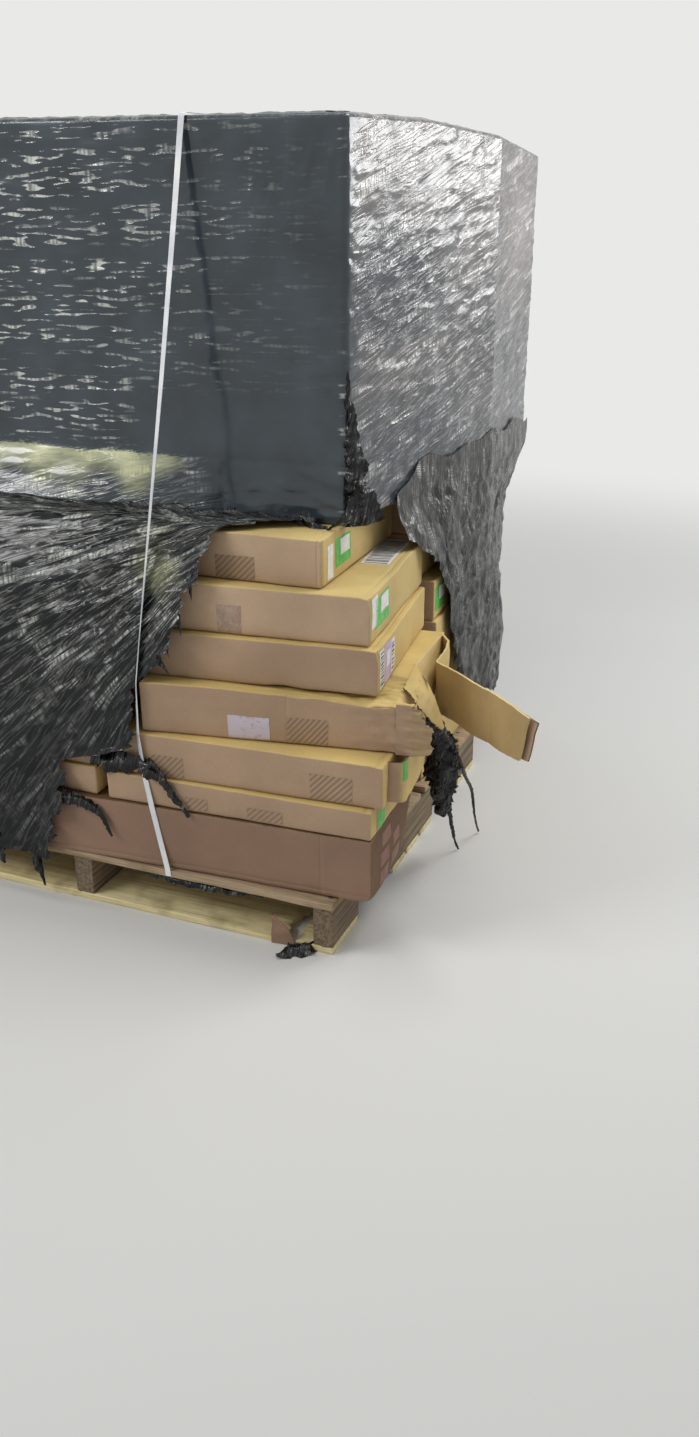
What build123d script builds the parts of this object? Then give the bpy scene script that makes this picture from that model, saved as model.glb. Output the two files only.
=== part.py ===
from build123d import *
import math
import os

os.makedirs("parts", exist_ok=True)

# A load of flat cartons on a stringer pallet, wrapped in black stretch film and strapped.
# Millimetres, +Z up. The origin is the centre of the pallet's underside.
# The front, where the film is torn open, faces -Y.

# Pallet
pallet_width = 1219.0
pallet_depth = 1016.0
stringer_width = 45.0
stringer_height = 89.0
board_thickness = 16.0
lead_board_width = 140.0
inner_board_width = 110.0
top_board_count = 7
bottom_board_count = 5
bottom_board_gap = 18.0
notch_length = 215.0
notch_depth = 38.0
notch_from_end = 145.0
notch_radius = 12.0
notch_margin = 8.0
broken_board_gap = 24.0
broken_board_bite = 14.0
stub_length = 88.0

# Cartons of the lower tier: the height of each layer, from the pallet up
layer_heights = [146.0, 66.0, 98.0, 113.0, 99.0, 104.0, 101.0]
carton_depth = 450.0
carton_radius = 3.0
carton_gap = 12.0
score_width = 1.6
score_depth = 1.2
score_inset = 14.0

# Front right cartons, from the bottom up. Each place is the front right corner's overhang past the
# pallet's right edge, its distance behind the pallet's front edge, and its turn in degrees.
front_names = [
    "carton_base",
    "carton_thin",
    "carton_third",
    "carton_crushed",
    "carton_fifth",
    "carton_sixth",
    "carton_seventh",
]
front_places = [
    (72.0, 32.0, 3.0),
    (72.0, 33.0, 2.6),
    (91.0, 51.0, 3.5),
    (123.0, 129.0, 10.0),
    (46.0, 133.0, 7.0),
    (24.0, 143.0, 5.8),
    (-87.0, 161.0, 2.0),
]
front_lengths = [950.0, 602.0, 595.0, 580.0, 590.0, 590.0, 585.0]

# Cartons behind the front ones, two to a layer: how far the right one stands past the pallet's right
# edge, and its turn in degrees. The left column has one carton beside the front one.
load_left_inset = 8.0
behind_gap = 14.0
behind_length = 580.0
behind_back_gap = 3.0
behind_overhangs = [-20.0, -20.0, -10.0, 8.0, 0.0, -40.0, -60.0]
behind_turns = [2.1, 2.1, 2.9, 4.4, 3.7, 0.5, 0.0]
left_column_setbacks = [20.0, 10.0, 18.0, 32.0, 64.0, 88.0, 145.0]

# Upper tier: four layers of larger cartons, three rows deep and two columns wide. The top layer falls
# towards the back, row by row.
upper_layer_heights = [116.0, 207.0, 267.0, 180.0]
upper_top_drop = [0.0, 20.0, 55.0]
upper_setback = 296.0
upper_row_depth = 340.0
upper_row_gap = 2.0
upper_overhang = -92.0
upper_row_step = 52.0
upper_column_share = 0.5
load_back_margin = 2.0

# Stretch film, drawn thicker than the real web so that it is a solid
film = 2.0
film_clearance = 0.5
film_top_lip = 130.0
film_hem = 2.0

# Torn right edge of the film skirt over the left cartons, seen from the front: overhang past the
# pallet's right edge, which is negative here, and height
skirt_tear = [
    (-311.0, 860.0),
    (-344.0, 744.0),
    (-381.0, 634.0),
    (-430.0, 558.0),
    (-463.0, 546.0),
    (-463.0, 404.0),
    (-523.0, 380.0),
    (-640.0, 348.0),
    (-629.0, 269.0),
    (-660.0, 200.0),
    (-685.0, 100.0),
]
skirt_bottom = 100.0

# Film that hangs loose over the right side of the back cartons. Each line across the load is how far
# it lies in front of the load's back, and the overhang of the film at each height.
curtain_heights = [846.0, 700.0, 500.0, 300.0, 124.0]
curtain_lines = [
    (837.0, [-56.0, 0.0, 14.0, 20.0, 20.0]),
    (337.0, [14.0, 10.0, 14.0, 8.0, 5.0]),
    (-2.0, [14.0, -38.0, -42.0, -12.0, -30.0]),
]
film_back_overhang = -45.0
# Its torn front and lower edge, seen from the right: setback and height
curtain_tear = [
    (486.0, 780.0),
    (630.0, 685.0),
    (693.0, 591.0),
    (686.0, 505.0),
    (745.0, 404.0),
    (845.0, 300.0),
    (1090.0, 201.0),
    (1213.0, 150.0),
]

# Strap. Its route down the front is overhang, setback and height: over the top edge, straight down
# to the crushed carton's left corner, along that corner and under the top deck.
strap_width = 13.0
strap_thickness = 1.0
strap_clearance = 0.6
strap_top_overhang = -427.0
strap_corner_overhang = -450.0
strap_lower_overhangs = [-449.0, -436.0, -422.0]
strap_bottom_overhang = -389.0
strap_back_overhang = -410.0

# Crushed corners, in a carton's own directions: out from its right face, back from its front face and
# up from its bottom. The base carton's lower back corner is pushed in, along the face through these two
# points and its top back corner.
base_crush = [(0.0, 150.0, 0.0), (-30.0, 301.0, 0.0)]
# The third carton's side panel stands out from its corner strip, behind a slit, and ends before the back
side_bulge = [(0.0, 36.0), (28.0, 52.0), (18.0, 260.0)]
bulge_before_back = 20.0
bulge_hem = 2.0
corner_slit_width = 4.0
corner_slit_depth = 3.0

# Crushed carton: its right wall is torn loose, stands off the carton and swings out, and its front end
# is folded double with a slot in it. The foot is out from the right face and forward from the back face,
# and the route out from the right face and back from the front face.
wall_foot = [(-1.0, 22.0), (20.0, 62.0)]
wall_route = [(13.0, 253.0), (142.0, 107.0), (232.0, -2.0)]
wall_thickness = 5.0
wall_slot_length = 62.0
wall_slot_width = 4.0
# Its front wall ends in two ragged layers past the corner: length past the corner, and height
ragged_layers = [
    [(-4.0, 0.0), (16.0, 6.0), (22.0, 1.0), (40.0, 2.0), (42.0, 40.0), (38.0, 66.0), (14.0, 72.0),
     (10.0, 100.0), (-4.0, 113.0)],
    [(-12.0, 2.0), (12.0, 2.0), (30.0, 9.0), (34.0, 52.0), (21.0, 60.0), (24.0, 84.0), (6.0, 88.0),
     (2.0, 108.0), (-12.0, 110.0)],
]
ragged_turn = -25.0
ragged_thickness = 3.0
ragged_layer_gap = 1.0
# Its top is torn along the right edge, and the strip folds over the side and hangs in a tongue: the
# fold seen from the front as out and height, and the tongue seen from the side as back and height
tongue_fold = [(-28.0, 113.0), (8.0, 115.0), (47.0, 26.0)]
tongue_outline = [(70.0, 120.0), (218.0, 120.0), (196.0, 96.0), (108.0, 20.0), (84.0, 20.0), (66.0, 84.0)]
tongue_thickness = 3.0

# Torn card that leans on the broken board
torn_card_width = 58.0
torn_card_height = 70.0
torn_card_thickness = 3.0

deck_level = 2 * board_thickness + stringer_height
layer_levels = [deck_level]
for height in layer_heights:
    layer_levels.append(layer_levels[-1] + height)
upper_levels = [layer_levels[-1]]
for height in upper_layer_heights:
    upper_levels.append(upper_levels[-1] + height)


def on_pallet(overhang, setback):
    """The point that lies so far past the pallet's right edge and behind its front edge."""
    return (pallet_width / 2 + overhang, setback - pallet_depth / 2)


def turned(angle):
    """Unit vector along a carton's front face, for its turn in degrees."""
    radians = math.radians(angle)
    return Vector(math.cos(radians), math.sin(radians), 0)


def corner_plane(place, level):
    """Level plane with its origin at a carton's front right corner and x along its front face."""
    overhang, setback, angle = place
    x, y = on_pallet(overhang, setback)
    return Plane(origin=(x, y, level), x_dir=turned(angle), z_dir=(0, 0, 1))


def save(solid, name):
    solid.label = name
    export_step(solid, f"parts/{name}.step")


# Pallet stringers, notched on their underside for forks from the sides
stringer_places = {
    "stringer_left": -(pallet_width - stringer_width) / 2,
    "stringer_middle": 0.0,
    "stringer_right": (pallet_width - stringer_width) / 2,
}
for name, place in stringer_places.items():
    side_plane = Plane.YZ.offset(place - stringer_width / 2)
    with BuildPart() as stringer:
        with BuildSketch(side_plane):
            with Locations((0, board_thickness)):
                Rectangle(pallet_depth, stringer_height, align=(Align.CENTER, Align.MIN))
        extrude(amount=stringer_width)
        notch_middle = pallet_depth / 2 - notch_from_end - notch_length / 2
        with BuildSketch(side_plane):
            with Locations((-notch_middle, board_thickness), (notch_middle, board_thickness)):
                Rectangle(notch_length, notch_depth, align=(Align.CENTER, Align.MIN))
        extrude(amount=stringer_width, mode=Mode.SUBTRACT)
        notch_top = stringer.edges().filter_by(Axis.X).filter_by(
            lambda edge: abs(edge.center().Z - board_thickness - notch_depth) < board_thickness / 4
        )
        fillet(notch_top, radius=notch_radius)
    save(stringer.part, name)


def board_rows(front, widths, back):
    """Middle of each deck board and its width, from front to back, in equal steps."""
    gap = (back - front - sum(widths)) / (len(widths) - 1)
    rows = []
    for width in widths:
        rows.append((front + width / 2, width))
        front += width + gap
    return rows


inner_widths = [inner_board_width] * (top_board_count - 2)
top_rows = board_rows(
    -pallet_depth / 2, [lead_board_width, *inner_widths, lead_board_width], pallet_depth / 2
)
# The inner bottom boards share the space between the fork notches, so that they leave the notches open
between_notches = pallet_depth / 2 - notch_from_end - notch_length - notch_margin
inner_bottom_count = bottom_board_count - 2
inner_bottom_width = (2 * between_notches - (inner_bottom_count - 1) * bottom_board_gap) / inner_bottom_count
lead_middle = (pallet_depth - lead_board_width) / 2
bottom_rows = [
    (-lead_middle, lead_board_width),
    *board_rows(-between_notches, [inner_bottom_width] * inner_bottom_count, between_notches),
    (lead_middle, lead_board_width),
]

# Top deck boards
for number, (middle, width) in enumerate(top_rows, start=1):
    with BuildPart() as top_board:
        with BuildSketch(Plane.XY.offset(board_thickness + stringer_height)):
            with Locations((0, middle)):
                Rectangle(pallet_width, width)
        extrude(amount=board_thickness)
    save(top_board.part, f"top_board_{number}")

# Bottom deck boards. The front one is broken short of the right stringer.
broken_end = pallet_width / 2 - stub_length - broken_board_gap
for number, (middle, width) in enumerate(bottom_rows, start=1):
    front_edge = middle - width / 2
    back_edge = middle + width / 2
    with BuildPart() as bottom_board:
        with BuildSketch(Plane.XY):
            if number == 1:
                with BuildLine():
                    Polyline(
                        (-pallet_width / 2, front_edge),
                        (broken_end - broken_board_bite, front_edge),
                        (broken_end, front_edge + 0.25 * width),
                        (broken_end - broken_board_bite, front_edge + 0.5 * width),
                        (broken_end + broken_board_bite, back_edge),
                        (-pallet_width / 2, back_edge),
                        close=True,
                    )
                make_face()
            else:
                with Locations((0, middle)):
                    Rectangle(pallet_width, width)
        extrude(amount=board_thickness)
    save(bottom_board.part, f"bottom_board_{number}")

front_middle, front_width = bottom_rows[0]
stub_left = pallet_width / 2 - stub_length
with BuildPart() as board_stub:
    with BuildSketch(Plane.XY):
        with BuildLine():
            Polyline(
                (pallet_width / 2, front_middle - front_width / 2),
                (stub_left + broken_board_bite, front_middle - front_width / 2),
                (stub_left, front_middle - 0.2 * front_width),
                (stub_left + broken_board_bite, front_middle),
                (stub_left + 2 * broken_board_bite, front_middle + front_width / 2),
                (pallet_width / 2, front_middle + front_width / 2),
                close=True,
            )
        make_face()
    extrude(amount=board_thickness)
save(board_stub.part, "bottom_board_stub")

# Torn triangle of card that stands on edge against the broken board
with BuildPart() as torn_card:
    card_front = front_middle - front_width / 2 - torn_card_thickness - strap_clearance
    with BuildSketch(Plane.XZ.offset(-card_front)):
        with BuildLine():
            Polyline(
                (broken_end - torn_card_width / 2, 0),
                (broken_end + torn_card_width / 2, 0),
                (broken_end + 0.2 * torn_card_width, 0.6 * torn_card_height),
                (broken_end - torn_card_width / 2, torn_card_height),
                close=True,
            )
        make_face()
    extrude(amount=-torn_card_thickness)
save(torn_card.part, "torn_card")


def carton_block(place, level, size):
    """One closed carton: its front right corner stands at the place, on the level."""
    length, depth, height = size
    with BuildPart() as block:
        with BuildSketch(corner_plane(place, level)):
            Rectangle(length, depth, align=(Align.MAX, Align.MIN))
        extrude(amount=height)
        fillet(block.edges().filter_by(Axis.Z), radius=carton_radius)
        with BuildSketch(corner_plane(place, level + height)):
            with Locations((-score_inset, depth / 2)):
                Rectangle(score_width, depth)
        extrude(amount=-score_depth, mode=Mode.SUBTRACT)
    return block.part


def front_carton(index):
    """The front carton of a layer, before any damage."""
    size = (front_lengths[index], carton_depth, layer_heights[index])
    return carton_block(front_places[index], layer_levels[index], size)


base, thin, third, crushed, fifth, sixth, seventh = range(len(front_names))
for index in (thin, fifth, sixth, seventh):
    save(front_carton(index), front_names[index])

# Base carton, with its lower back corner pushed in
with BuildPart() as base_carton:
    add(front_carton(base))
    base_plane = corner_plane(front_places[base], layer_levels[base])
    top_back_corner = (0, carton_depth, layer_heights[base])
    crush_points = [base_plane.from_local_coords(point) for point in (*base_crush, top_back_corner)]
    inward = (crush_points[1] - crush_points[0]).cross(crush_points[2] - crush_points[0])
    split(bisect_by=Plane(origin=crush_points[0], z_dir=inward), keep=Keep.BOTTOM)
save(base_carton.part, front_names[base])

# Third carton, with its side panel bulging past the folded strip at its corner
with BuildPart() as third_carton:
    add(front_carton(third))
    with BuildSketch(corner_plane(front_places[third], layer_levels[third] + bulge_hem)):
        with BuildLine():
            Polyline(
                (-corner_slit_depth, side_bulge[0][1]),
                *side_bulge,
                (0, carton_depth - bulge_before_back),
                close=True,
            )
        make_face()
    extrude(amount=layer_heights[third] - 2 * bulge_hem)
    with BuildSketch(corner_plane(front_places[third], layer_levels[third])):
        with Locations((0, side_bulge[0][1] - corner_slit_width / 2)):
            Rectangle(2 * corner_slit_depth, corner_slit_width)
    extrude(amount=layer_heights[third], mode=Mode.SUBTRACT)
save(third_carton.part, front_names[third])

# Tongue of the crushed carton's torn top: a folded strip, cut to its outline seen from the side
crushed_plane = corner_plane(front_places[crushed], layer_levels[crushed])
with BuildPart() as tongue:
    section_plane = Plane(origin=crushed_plane.origin, x_dir=crushed_plane.x_dir, z_dir=-crushed_plane.y_dir)
    with BuildSketch(section_plane):
        with BuildLine():
            Polyline(*tongue_fold)
        trace(line_width=tongue_thickness)
    extrude(amount=-carton_depth)
    side_plane = Plane(origin=crushed_plane.origin, x_dir=crushed_plane.y_dir, z_dir=crushed_plane.x_dir)
    with BuildSketch(side_plane):
        with BuildLine():
            Polyline(*tongue_outline, close=True)
        make_face()
    extrude(amount=front_lengths[crushed], both=True, mode=Mode.INTERSECT)

# Crushed carton: body, tongue, torn wall and ragged corner are one piece of board
crushed_height = layer_heights[crushed]
with BuildPart() as crushed_carton:
    add(front_carton(crushed))
    add(tongue.part)
    crease = Vector(*wall_route[-2])
    tip = Vector(*wall_route[-1])
    forward = (tip - crease).normalized()
    outward = Vector(-forward.Y, forward.X) * (wall_thickness + wall_slot_width)
    fold = tip - forward * wall_slot_length
    with BuildSketch(crushed_plane):
        with BuildLine():
            Polyline(*[(out, carton_depth - forth) for out, forth in wall_foot], *wall_route)
        trace(line_width=wall_thickness)
        with BuildLine():
            Polyline(fold, fold + outward, tip + outward)
        trace(line_width=wall_thickness)
    extrude(amount=crushed_height)
    ragged_dir = turned(front_places[crushed][2] - ragged_turn)
    for layer, outline in enumerate(ragged_layers):
        behind = ragged_dir.rotate(Axis.Z, 90) * layer * (ragged_thickness + ragged_layer_gap)
        ragged_plane = Plane(
            origin=crushed_plane.origin + behind, x_dir=ragged_dir, z_dir=ragged_dir.rotate(Axis.Z, -90)
        )
        with BuildSketch(ragged_plane):
            with BuildLine():
                Polyline(*outline, close=True)
            make_face()
        extrude(amount=-ragged_thickness)
save(crushed_carton.part, front_names[crushed])


def front_left_end(index):
    """Least x that the front carton of a layer takes up."""
    plane = corner_plane(front_places[index], 0)
    return min(plane.from_local_coords((-front_lengths[index], back, 0)).X for back in (0, carton_depth))


load_left = -pallet_width / 2 + load_left_inset
upper_rows = len(upper_top_drop)
upper_back_setback = upper_setback + upper_rows * upper_row_depth + (upper_rows - 1) * upper_row_gap
load_back_setback = upper_back_setback + load_back_margin
load_back = on_pallet(0, load_back_setback)[1]
behind_start = front_places[seventh][1] + carton_depth + behind_gap
behind_depth = load_back_setback - behind_start - behind_back_gap

# The other cartons of each lower layer: the left column, and two behind, the right one turned
for index, (level, height) in enumerate(zip(layer_levels, layer_heights)):
    left_front = on_pallet(0, left_column_setbacks[index])[1]
    behind_front = on_pallet(0, behind_start)[1]
    place = (behind_overhangs[index], behind_start, behind_turns[index])
    behind_left_end = corner_plane(place, 0).from_local_coords((-behind_length, behind_depth, 0)).X
    left_back = corner_plane(place, 0).from_local_coords((-behind_length, 0, 0)).Y - carton_gap
    spaces = [
        (load_left, front_left_end(index) - carton_gap, left_front, left_back),
        (load_left, behind_left_end - carton_gap, behind_front, load_back),
    ]
    with BuildPart() as layer:
        for left, right, front, back in spaces:
            with BuildSketch(Plane.XY.offset(level)):
                with Locations(((left + right) / 2, (front + back) / 2)):
                    Rectangle(right - left, back - front)
            extrude(amount=height)
        with BuildSketch(corner_plane(place, level)):
            Rectangle(behind_length, behind_depth, align=(Align.MAX, Align.MIN))
        extrude(amount=height)
    save(layer.part, f"lower_layer_{index + 1}")

# Upper cartons: each row stands a little further right than the one in front of it
upper_middle = load_left + (on_pallet(upper_overhang, 0)[0] - load_left) * upper_column_share
for index, (level, height) in enumerate(zip(upper_levels, upper_layer_heights)):
    with BuildPart() as layer:
        for row in range(upper_rows):
            front = on_pallet(0, upper_setback)[1] + row * (upper_row_depth + upper_row_gap)
            right = on_pallet(upper_overhang + row * upper_row_step, 0)[0]
            drop = upper_top_drop[row] if index == len(upper_layer_heights) - 1 else 0.0
            for left_side, right_side in (
                (load_left, upper_middle - upper_row_gap),
                (upper_middle, right),
            ):
                with BuildSketch(Plane.XY.offset(level)):
                    with Locations(((left_side + right_side) / 2, front + upper_row_depth / 2)):
                        Rectangle(right_side - left_side, upper_row_depth)
                extrude(amount=height - drop)
    save(layer.part, f"upper_layer_{index + 1}")


def upper_corners():
    """Plan of the upper tier as the film sees it: it runs straight past the steps between rows."""
    front = on_pallet(0, upper_setback)[1]
    back = on_pallet(0, upper_back_setback)[1]
    front_right = on_pallet(upper_overhang, 0)[0]
    back_right = front_right + (upper_rows - 1) * upper_row_step
    return [
        (load_left, front),
        (front_right, front),
        (back_right, back - upper_row_depth),
        (back_right, back),
        (load_left, back),
    ]


def upper_profile(bottom):
    """Side view of the upper tier under the film: flat over the first row, then falling back."""
    front = on_pallet(0, upper_setback)[1]
    points = [(front, bottom), (front, upper_levels[-1])]
    for row, drop in enumerate(upper_top_drop):
        back = front + row * (upper_row_depth + upper_row_gap) + upper_row_depth
        points.append((back, upper_levels[-1] - drop))
    points.append((points[-1][0], bottom))
    return points


def upper_prism(spread, bottom):
    """Solid that holds the upper tier with so much room all round."""
    with BuildPart() as prism:
        with BuildSketch(Plane.XY.offset(bottom)):
            with BuildLine():
                Polyline(*upper_corners(), close=True)
            make_face()
            offset(amount=spread)
        extrude(amount=upper_levels[-1])
        with BuildSketch(Plane.YZ.offset(-pallet_width)):
            with BuildLine():
                Polyline(*upper_profile(0), close=True)
            make_face()
            offset(amount=spread)
        extrude(amount=2 * pallet_width, mode=Mode.INTERSECT)
    return prism.part


# Film around the upper tier, turned in over the edge of its top
upper_film_bottom = upper_levels[0] + film_hem
film_outer = upper_prism(film_clearance + film, upper_film_bottom)
film_inner = upper_prism(film_clearance, upper_levels[0])
with BuildPart() as film_upper:
    add(film_outer)
    add(film_inner, mode=Mode.SUBTRACT)
    with BuildSketch(Plane.XY.offset(upper_levels[-1] - 2 * max(upper_top_drop))):
        with BuildLine():
            Polyline(*upper_corners(), close=True)
        make_face()
        offset(amount=-film_top_lip)
    extrude(amount=4 * max(upper_top_drop), mode=Mode.SUBTRACT)
save(film_upper.part, "film_upper")



# Film skirt: down from the upper tier's foot, over the left cartons' front edges, to the pallet
def left_end_setback(index):
    """Setback of the left end of a layer's front carton."""
    overhang, setback, angle = front_places[index]
    return setback - front_lengths[index] * math.sin(math.radians(angle))


skirt_line = [
    (left_end_setback(base), skirt_bottom),
    (left_end_setback(base), layer_levels[thin]),
    (left_end_setback(crushed), layer_levels[fifth]),
    (left_end_setback(sixth), layer_levels[seventh]),
    (left_end_setback(seventh), upper_levels[0]),
    (upper_setback, upper_levels[0]),
]


def skirt_points(spread):
    """The skirt's line, moved out from the cartons, with the last points lifted off their tops."""
    points = []
    for setback, height in skirt_line:
        lift = spread if height == upper_levels[0] else 0.0
        out = 2 * film_clearance + film if setback == upper_setback else spread
        points.append((on_pallet(0, setback - out)[1], height + lift))
    return points


skirt_left = load_left - film_clearance - film
with BuildPart() as film_skirt:
    with BuildSketch(Plane.YZ.offset(skirt_left)):
        with BuildLine():
            Polyline(
                *skirt_points(film_clearance + film),
                *reversed(skirt_points(film_clearance)),
                close=True,
            )
        make_face()
    extrude(amount=pallet_width)
    with BuildSketch(Plane.XZ.offset(pallet_depth / 2)):
        with BuildLine():
            Polyline(
                (skirt_left, skirt_bottom),
                (skirt_left, skirt_tear[0][1]),
                *[(on_pallet(overhang, 0)[0], height) for overhang, height in skirt_tear],
                close=True,
            )
        make_face()
    extrude(amount=pallet_depth, both=True, mode=Mode.INTERSECT)
save(film_skirt.part, "film_skirt")

# Film down the left side and the back of the lower tier
with BuildPart() as film_side:
    with BuildSketch(Plane.YZ.offset(skirt_left)):
        with BuildLine():
            Polyline(
                (skirt_points(film_clearance)[0][0], deck_level + film_hem),
                *skirt_points(film_clearance)[1:-1],
                (load_back, skirt_line[-1][1] + film_clearance),
                (load_back, deck_level + film_hem),
                close=True,
            )
        make_face()
    extrude(amount=film)
save(film_side.part, "film_left_side")

with BuildPart() as film_back:
    back_right = on_pallet(film_back_overhang, 0)[0]
    with BuildSketch(Plane.XZ.offset(-load_back - film_clearance)):
        with Locations((skirt_left, deck_level + film_hem)):
            Rectangle(
                back_right - skirt_left,
                upper_levels[0] - deck_level - film_hem,
                align=(Align.MIN, Align.MIN),
            )
    extrude(amount=-film)
save(film_back.part, "film_back")

# Film curtain over the right side of the back rows
with BuildPart() as film_curtain:
    for before_back, overhangs in curtain_lines:
        with BuildSketch(Plane.XZ.offset(before_back - load_back)):
            inner = [
                (on_pallet(overhang, 0)[0], height)
                for overhang, height in zip(overhangs, curtain_heights)
            ]
            outer = [(x + film, height) for x, height in inner]
            with BuildLine():
                Polyline(*inner, *reversed(outer), close=True)
            make_face()
    loft(ruled=True)
    curtain_end = load_back - curtain_lines[-1][0]
    with BuildSketch(Plane.YZ):
        with BuildLine():
            Polyline(
                (on_pallet(0, curtain_tear[0][0])[1], curtain_heights[0]),
                *[(on_pallet(0, setback)[1], height) for setback, height in curtain_tear],
                (curtain_end, curtain_heights[-1]),
                (curtain_end, curtain_heights[0]),
                close=True,
            )
        make_face()
    extrude(amount=pallet_width, mode=Mode.INTERSECT)
save(film_curtain.part, "film_curtain")

# Strap, a closed loop
strap_off = strap_clearance + strap_thickness / 2
film_off = film_clearance + film + strap_off
top_height = upper_levels[-1] + film_off
under_deck = deck_level - board_thickness - strap_off
back_line = load_back + film_off


def face_setback(index, overhang):
    """Setback of a front carton's face where it lies so far past the pallet's right edge."""
    right, setback, angle = front_places[index]
    return setback - (right - overhang) * math.tan(math.radians(angle))


strap_front = [
    (strap_top_overhang, upper_setback - film_off, top_height),
    (strap_corner_overhang, left_end_setback(crushed) - film_off, layer_levels[fifth]),
]
for index, overhang in zip((third, thin, base), strap_lower_overhangs):
    strap_front.append((overhang, face_setback(index, overhang) - film_off, layer_levels[index + 1]))
strap_front.append((strap_bottom_overhang, -strap_off, deck_level))
strap_front.append((strap_bottom_overhang, -strap_off, under_deck))


def strap_points():
    """The strap's loop: down the front, back under the deck, up the back and over the top."""
    points = []
    for overhang, setback, height in strap_front:
        x, y = on_pallet(overhang, setback)
        points.append(Vector(x, y, height))
    back_x = on_pallet(strap_back_overhang, 0)[0]
    points.append(Vector(back_x, pallet_depth / 2 + strap_off, under_deck))
    points.append(Vector(back_x, back_line, deck_level - strap_off))
    row_back = back_line
    for row in reversed(range(upper_rows)):
        points.append(Vector(back_x, row_back, top_height - upper_top_drop[row]))
        row_back = on_pallet(0, upper_setback)[1] + row * (upper_row_depth + upper_row_gap) - upper_row_gap
    return points


route = strap_points()


def strap_section(index):
    """Plane across the strap at a point of its route, and how much the mitre there thickens it."""
    here = route[index % len(route)]
    before = (here - route[index - 1]).normalized()
    after = (route[(index + 1) % len(route)] - here).normalized()
    mean = (before + after).normalized()
    return Plane(origin=here, x_dir=(1, 0, 0), z_dir=mean), 1 / mean.dot(after)


with BuildPart() as strap:
    for run in range(len(route)):
        for end in (run, run + 1):
            section, mitre = strap_section(end)
            with BuildSketch(section):
                Rectangle(strap_width, strap_thickness * mitre)
        loft(ruled=True)
save(strap.part, "strap")
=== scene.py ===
import math
from functools import partial
import bpy
import numpy as np
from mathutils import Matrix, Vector


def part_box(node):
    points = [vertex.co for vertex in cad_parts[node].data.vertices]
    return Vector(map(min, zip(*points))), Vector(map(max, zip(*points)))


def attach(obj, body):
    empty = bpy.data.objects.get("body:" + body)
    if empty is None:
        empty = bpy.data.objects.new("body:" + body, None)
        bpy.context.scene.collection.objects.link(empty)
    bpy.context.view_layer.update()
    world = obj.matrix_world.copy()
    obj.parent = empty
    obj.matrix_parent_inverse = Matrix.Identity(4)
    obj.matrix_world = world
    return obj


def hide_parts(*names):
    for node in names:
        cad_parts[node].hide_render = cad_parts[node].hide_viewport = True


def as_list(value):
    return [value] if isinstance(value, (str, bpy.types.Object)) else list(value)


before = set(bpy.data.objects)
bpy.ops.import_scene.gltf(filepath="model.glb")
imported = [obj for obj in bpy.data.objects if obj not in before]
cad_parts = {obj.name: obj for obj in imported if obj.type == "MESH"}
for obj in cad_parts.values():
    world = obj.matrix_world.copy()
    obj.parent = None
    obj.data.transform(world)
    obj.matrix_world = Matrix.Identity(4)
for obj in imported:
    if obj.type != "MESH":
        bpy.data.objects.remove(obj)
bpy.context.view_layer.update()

# A pallet of flat cartons under black stretch film, torn open at the front right corner.
# Sizes below are millimetres; MM turns them into the frame's metres.
MM = 0.001
BODY = "root"

deck_low, deck_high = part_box("top_board_1")
RIGHT_EDGE = deck_high[0]
FRONT_EDGE = deck_low[1]

# Front cartons: overhang past the pallet's right edge, distance behind its front edge, turn in degrees
# and length. Their levels and heights come from the frame.
FRONT_CARTONS = {
    "carton_base": (72.0, 32.0, 3.0, 950.0),
    "carton_thin": (72.0, 33.0, 2.6, 602.0),
    "carton_third": (91.0, 51.0, 3.5, 595.0),
    "carton_crushed": (123.0, 129.0, 10.0, 580.0),
    "carton_fifth": (46.0, 133.0, 7.0, 590.0),
    "carton_sixth": (24.0, 143.0, 5.8, 590.0),
    "carton_seventh": (-87.0, 161.0, 2.0, 585.0),
}
CARTON_DEPTH = 450.0
# How high the crushed carton's walls stand
CRUSHED_HEIGHT = 113.0
EDGE_RADIUS = 3.2
# The strap's overhang where it runs over the top
STRAP_LINE = -427.0


def linear(hex_colour):
    """An sRGB hex colour as the linear RGBA that a shader takes."""
    channels = [int(hex_colour[start:start + 2], 16) / 255 for start in (1, 3, 5)]
    return (*[c / 12.92 if c <= 0.04045 else ((c + 0.055) / 1.055) ** 2.4 for c in channels], 1.0)


def set_inputs(node, inputs):
    """Set or link a node's inputs, by name or number."""
    for key, value in inputs.items():
        if isinstance(value, bpy.types.NodeSocket):
            node.id_data.links.new(value, node.inputs[key])
        else:
            node.inputs[key].default_value = value


def add_node(tree, kind, *values, **settings):
    """Add a node with its settings and inputs, and give its outputs. The values fill its inputs in
    order, and a dictionary among them says which inputs it fills."""
    node = tree.nodes.new("ShaderNode" + kind)
    for name, value in settings.items():
        setattr(node, name, value)
    for number, value in enumerate(values):
        set_inputs(node, value if isinstance(value, dict) else {number: value})
    return node.outputs


def new_material(name, roughness, ior=1.5, specular=0.5):
    """A new material, what adds nodes to it, its Principled shader, and the piece's own coordinates."""
    material = bpy.data.materials.new(name)
    material.use_nodes = True
    node = partial(add_node, material.node_tree)
    shader = material.node_tree.nodes["Principled BSDF"]
    set_inputs(shader, {"Roughness": roughness, "IOR": ior, "Specular IOR Level": specular})
    return material, node, shader, node("TexCoord")["Object"]


def on_pallet(overhang, setback, height):
    """Points in metres, from millimetres past the pallet's right edge, behind its front edge and up."""
    return np.stack([RIGHT_EDGE + overhang * MM, FRONT_EDGE + setback * MM, height * MM], axis=-1)


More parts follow.
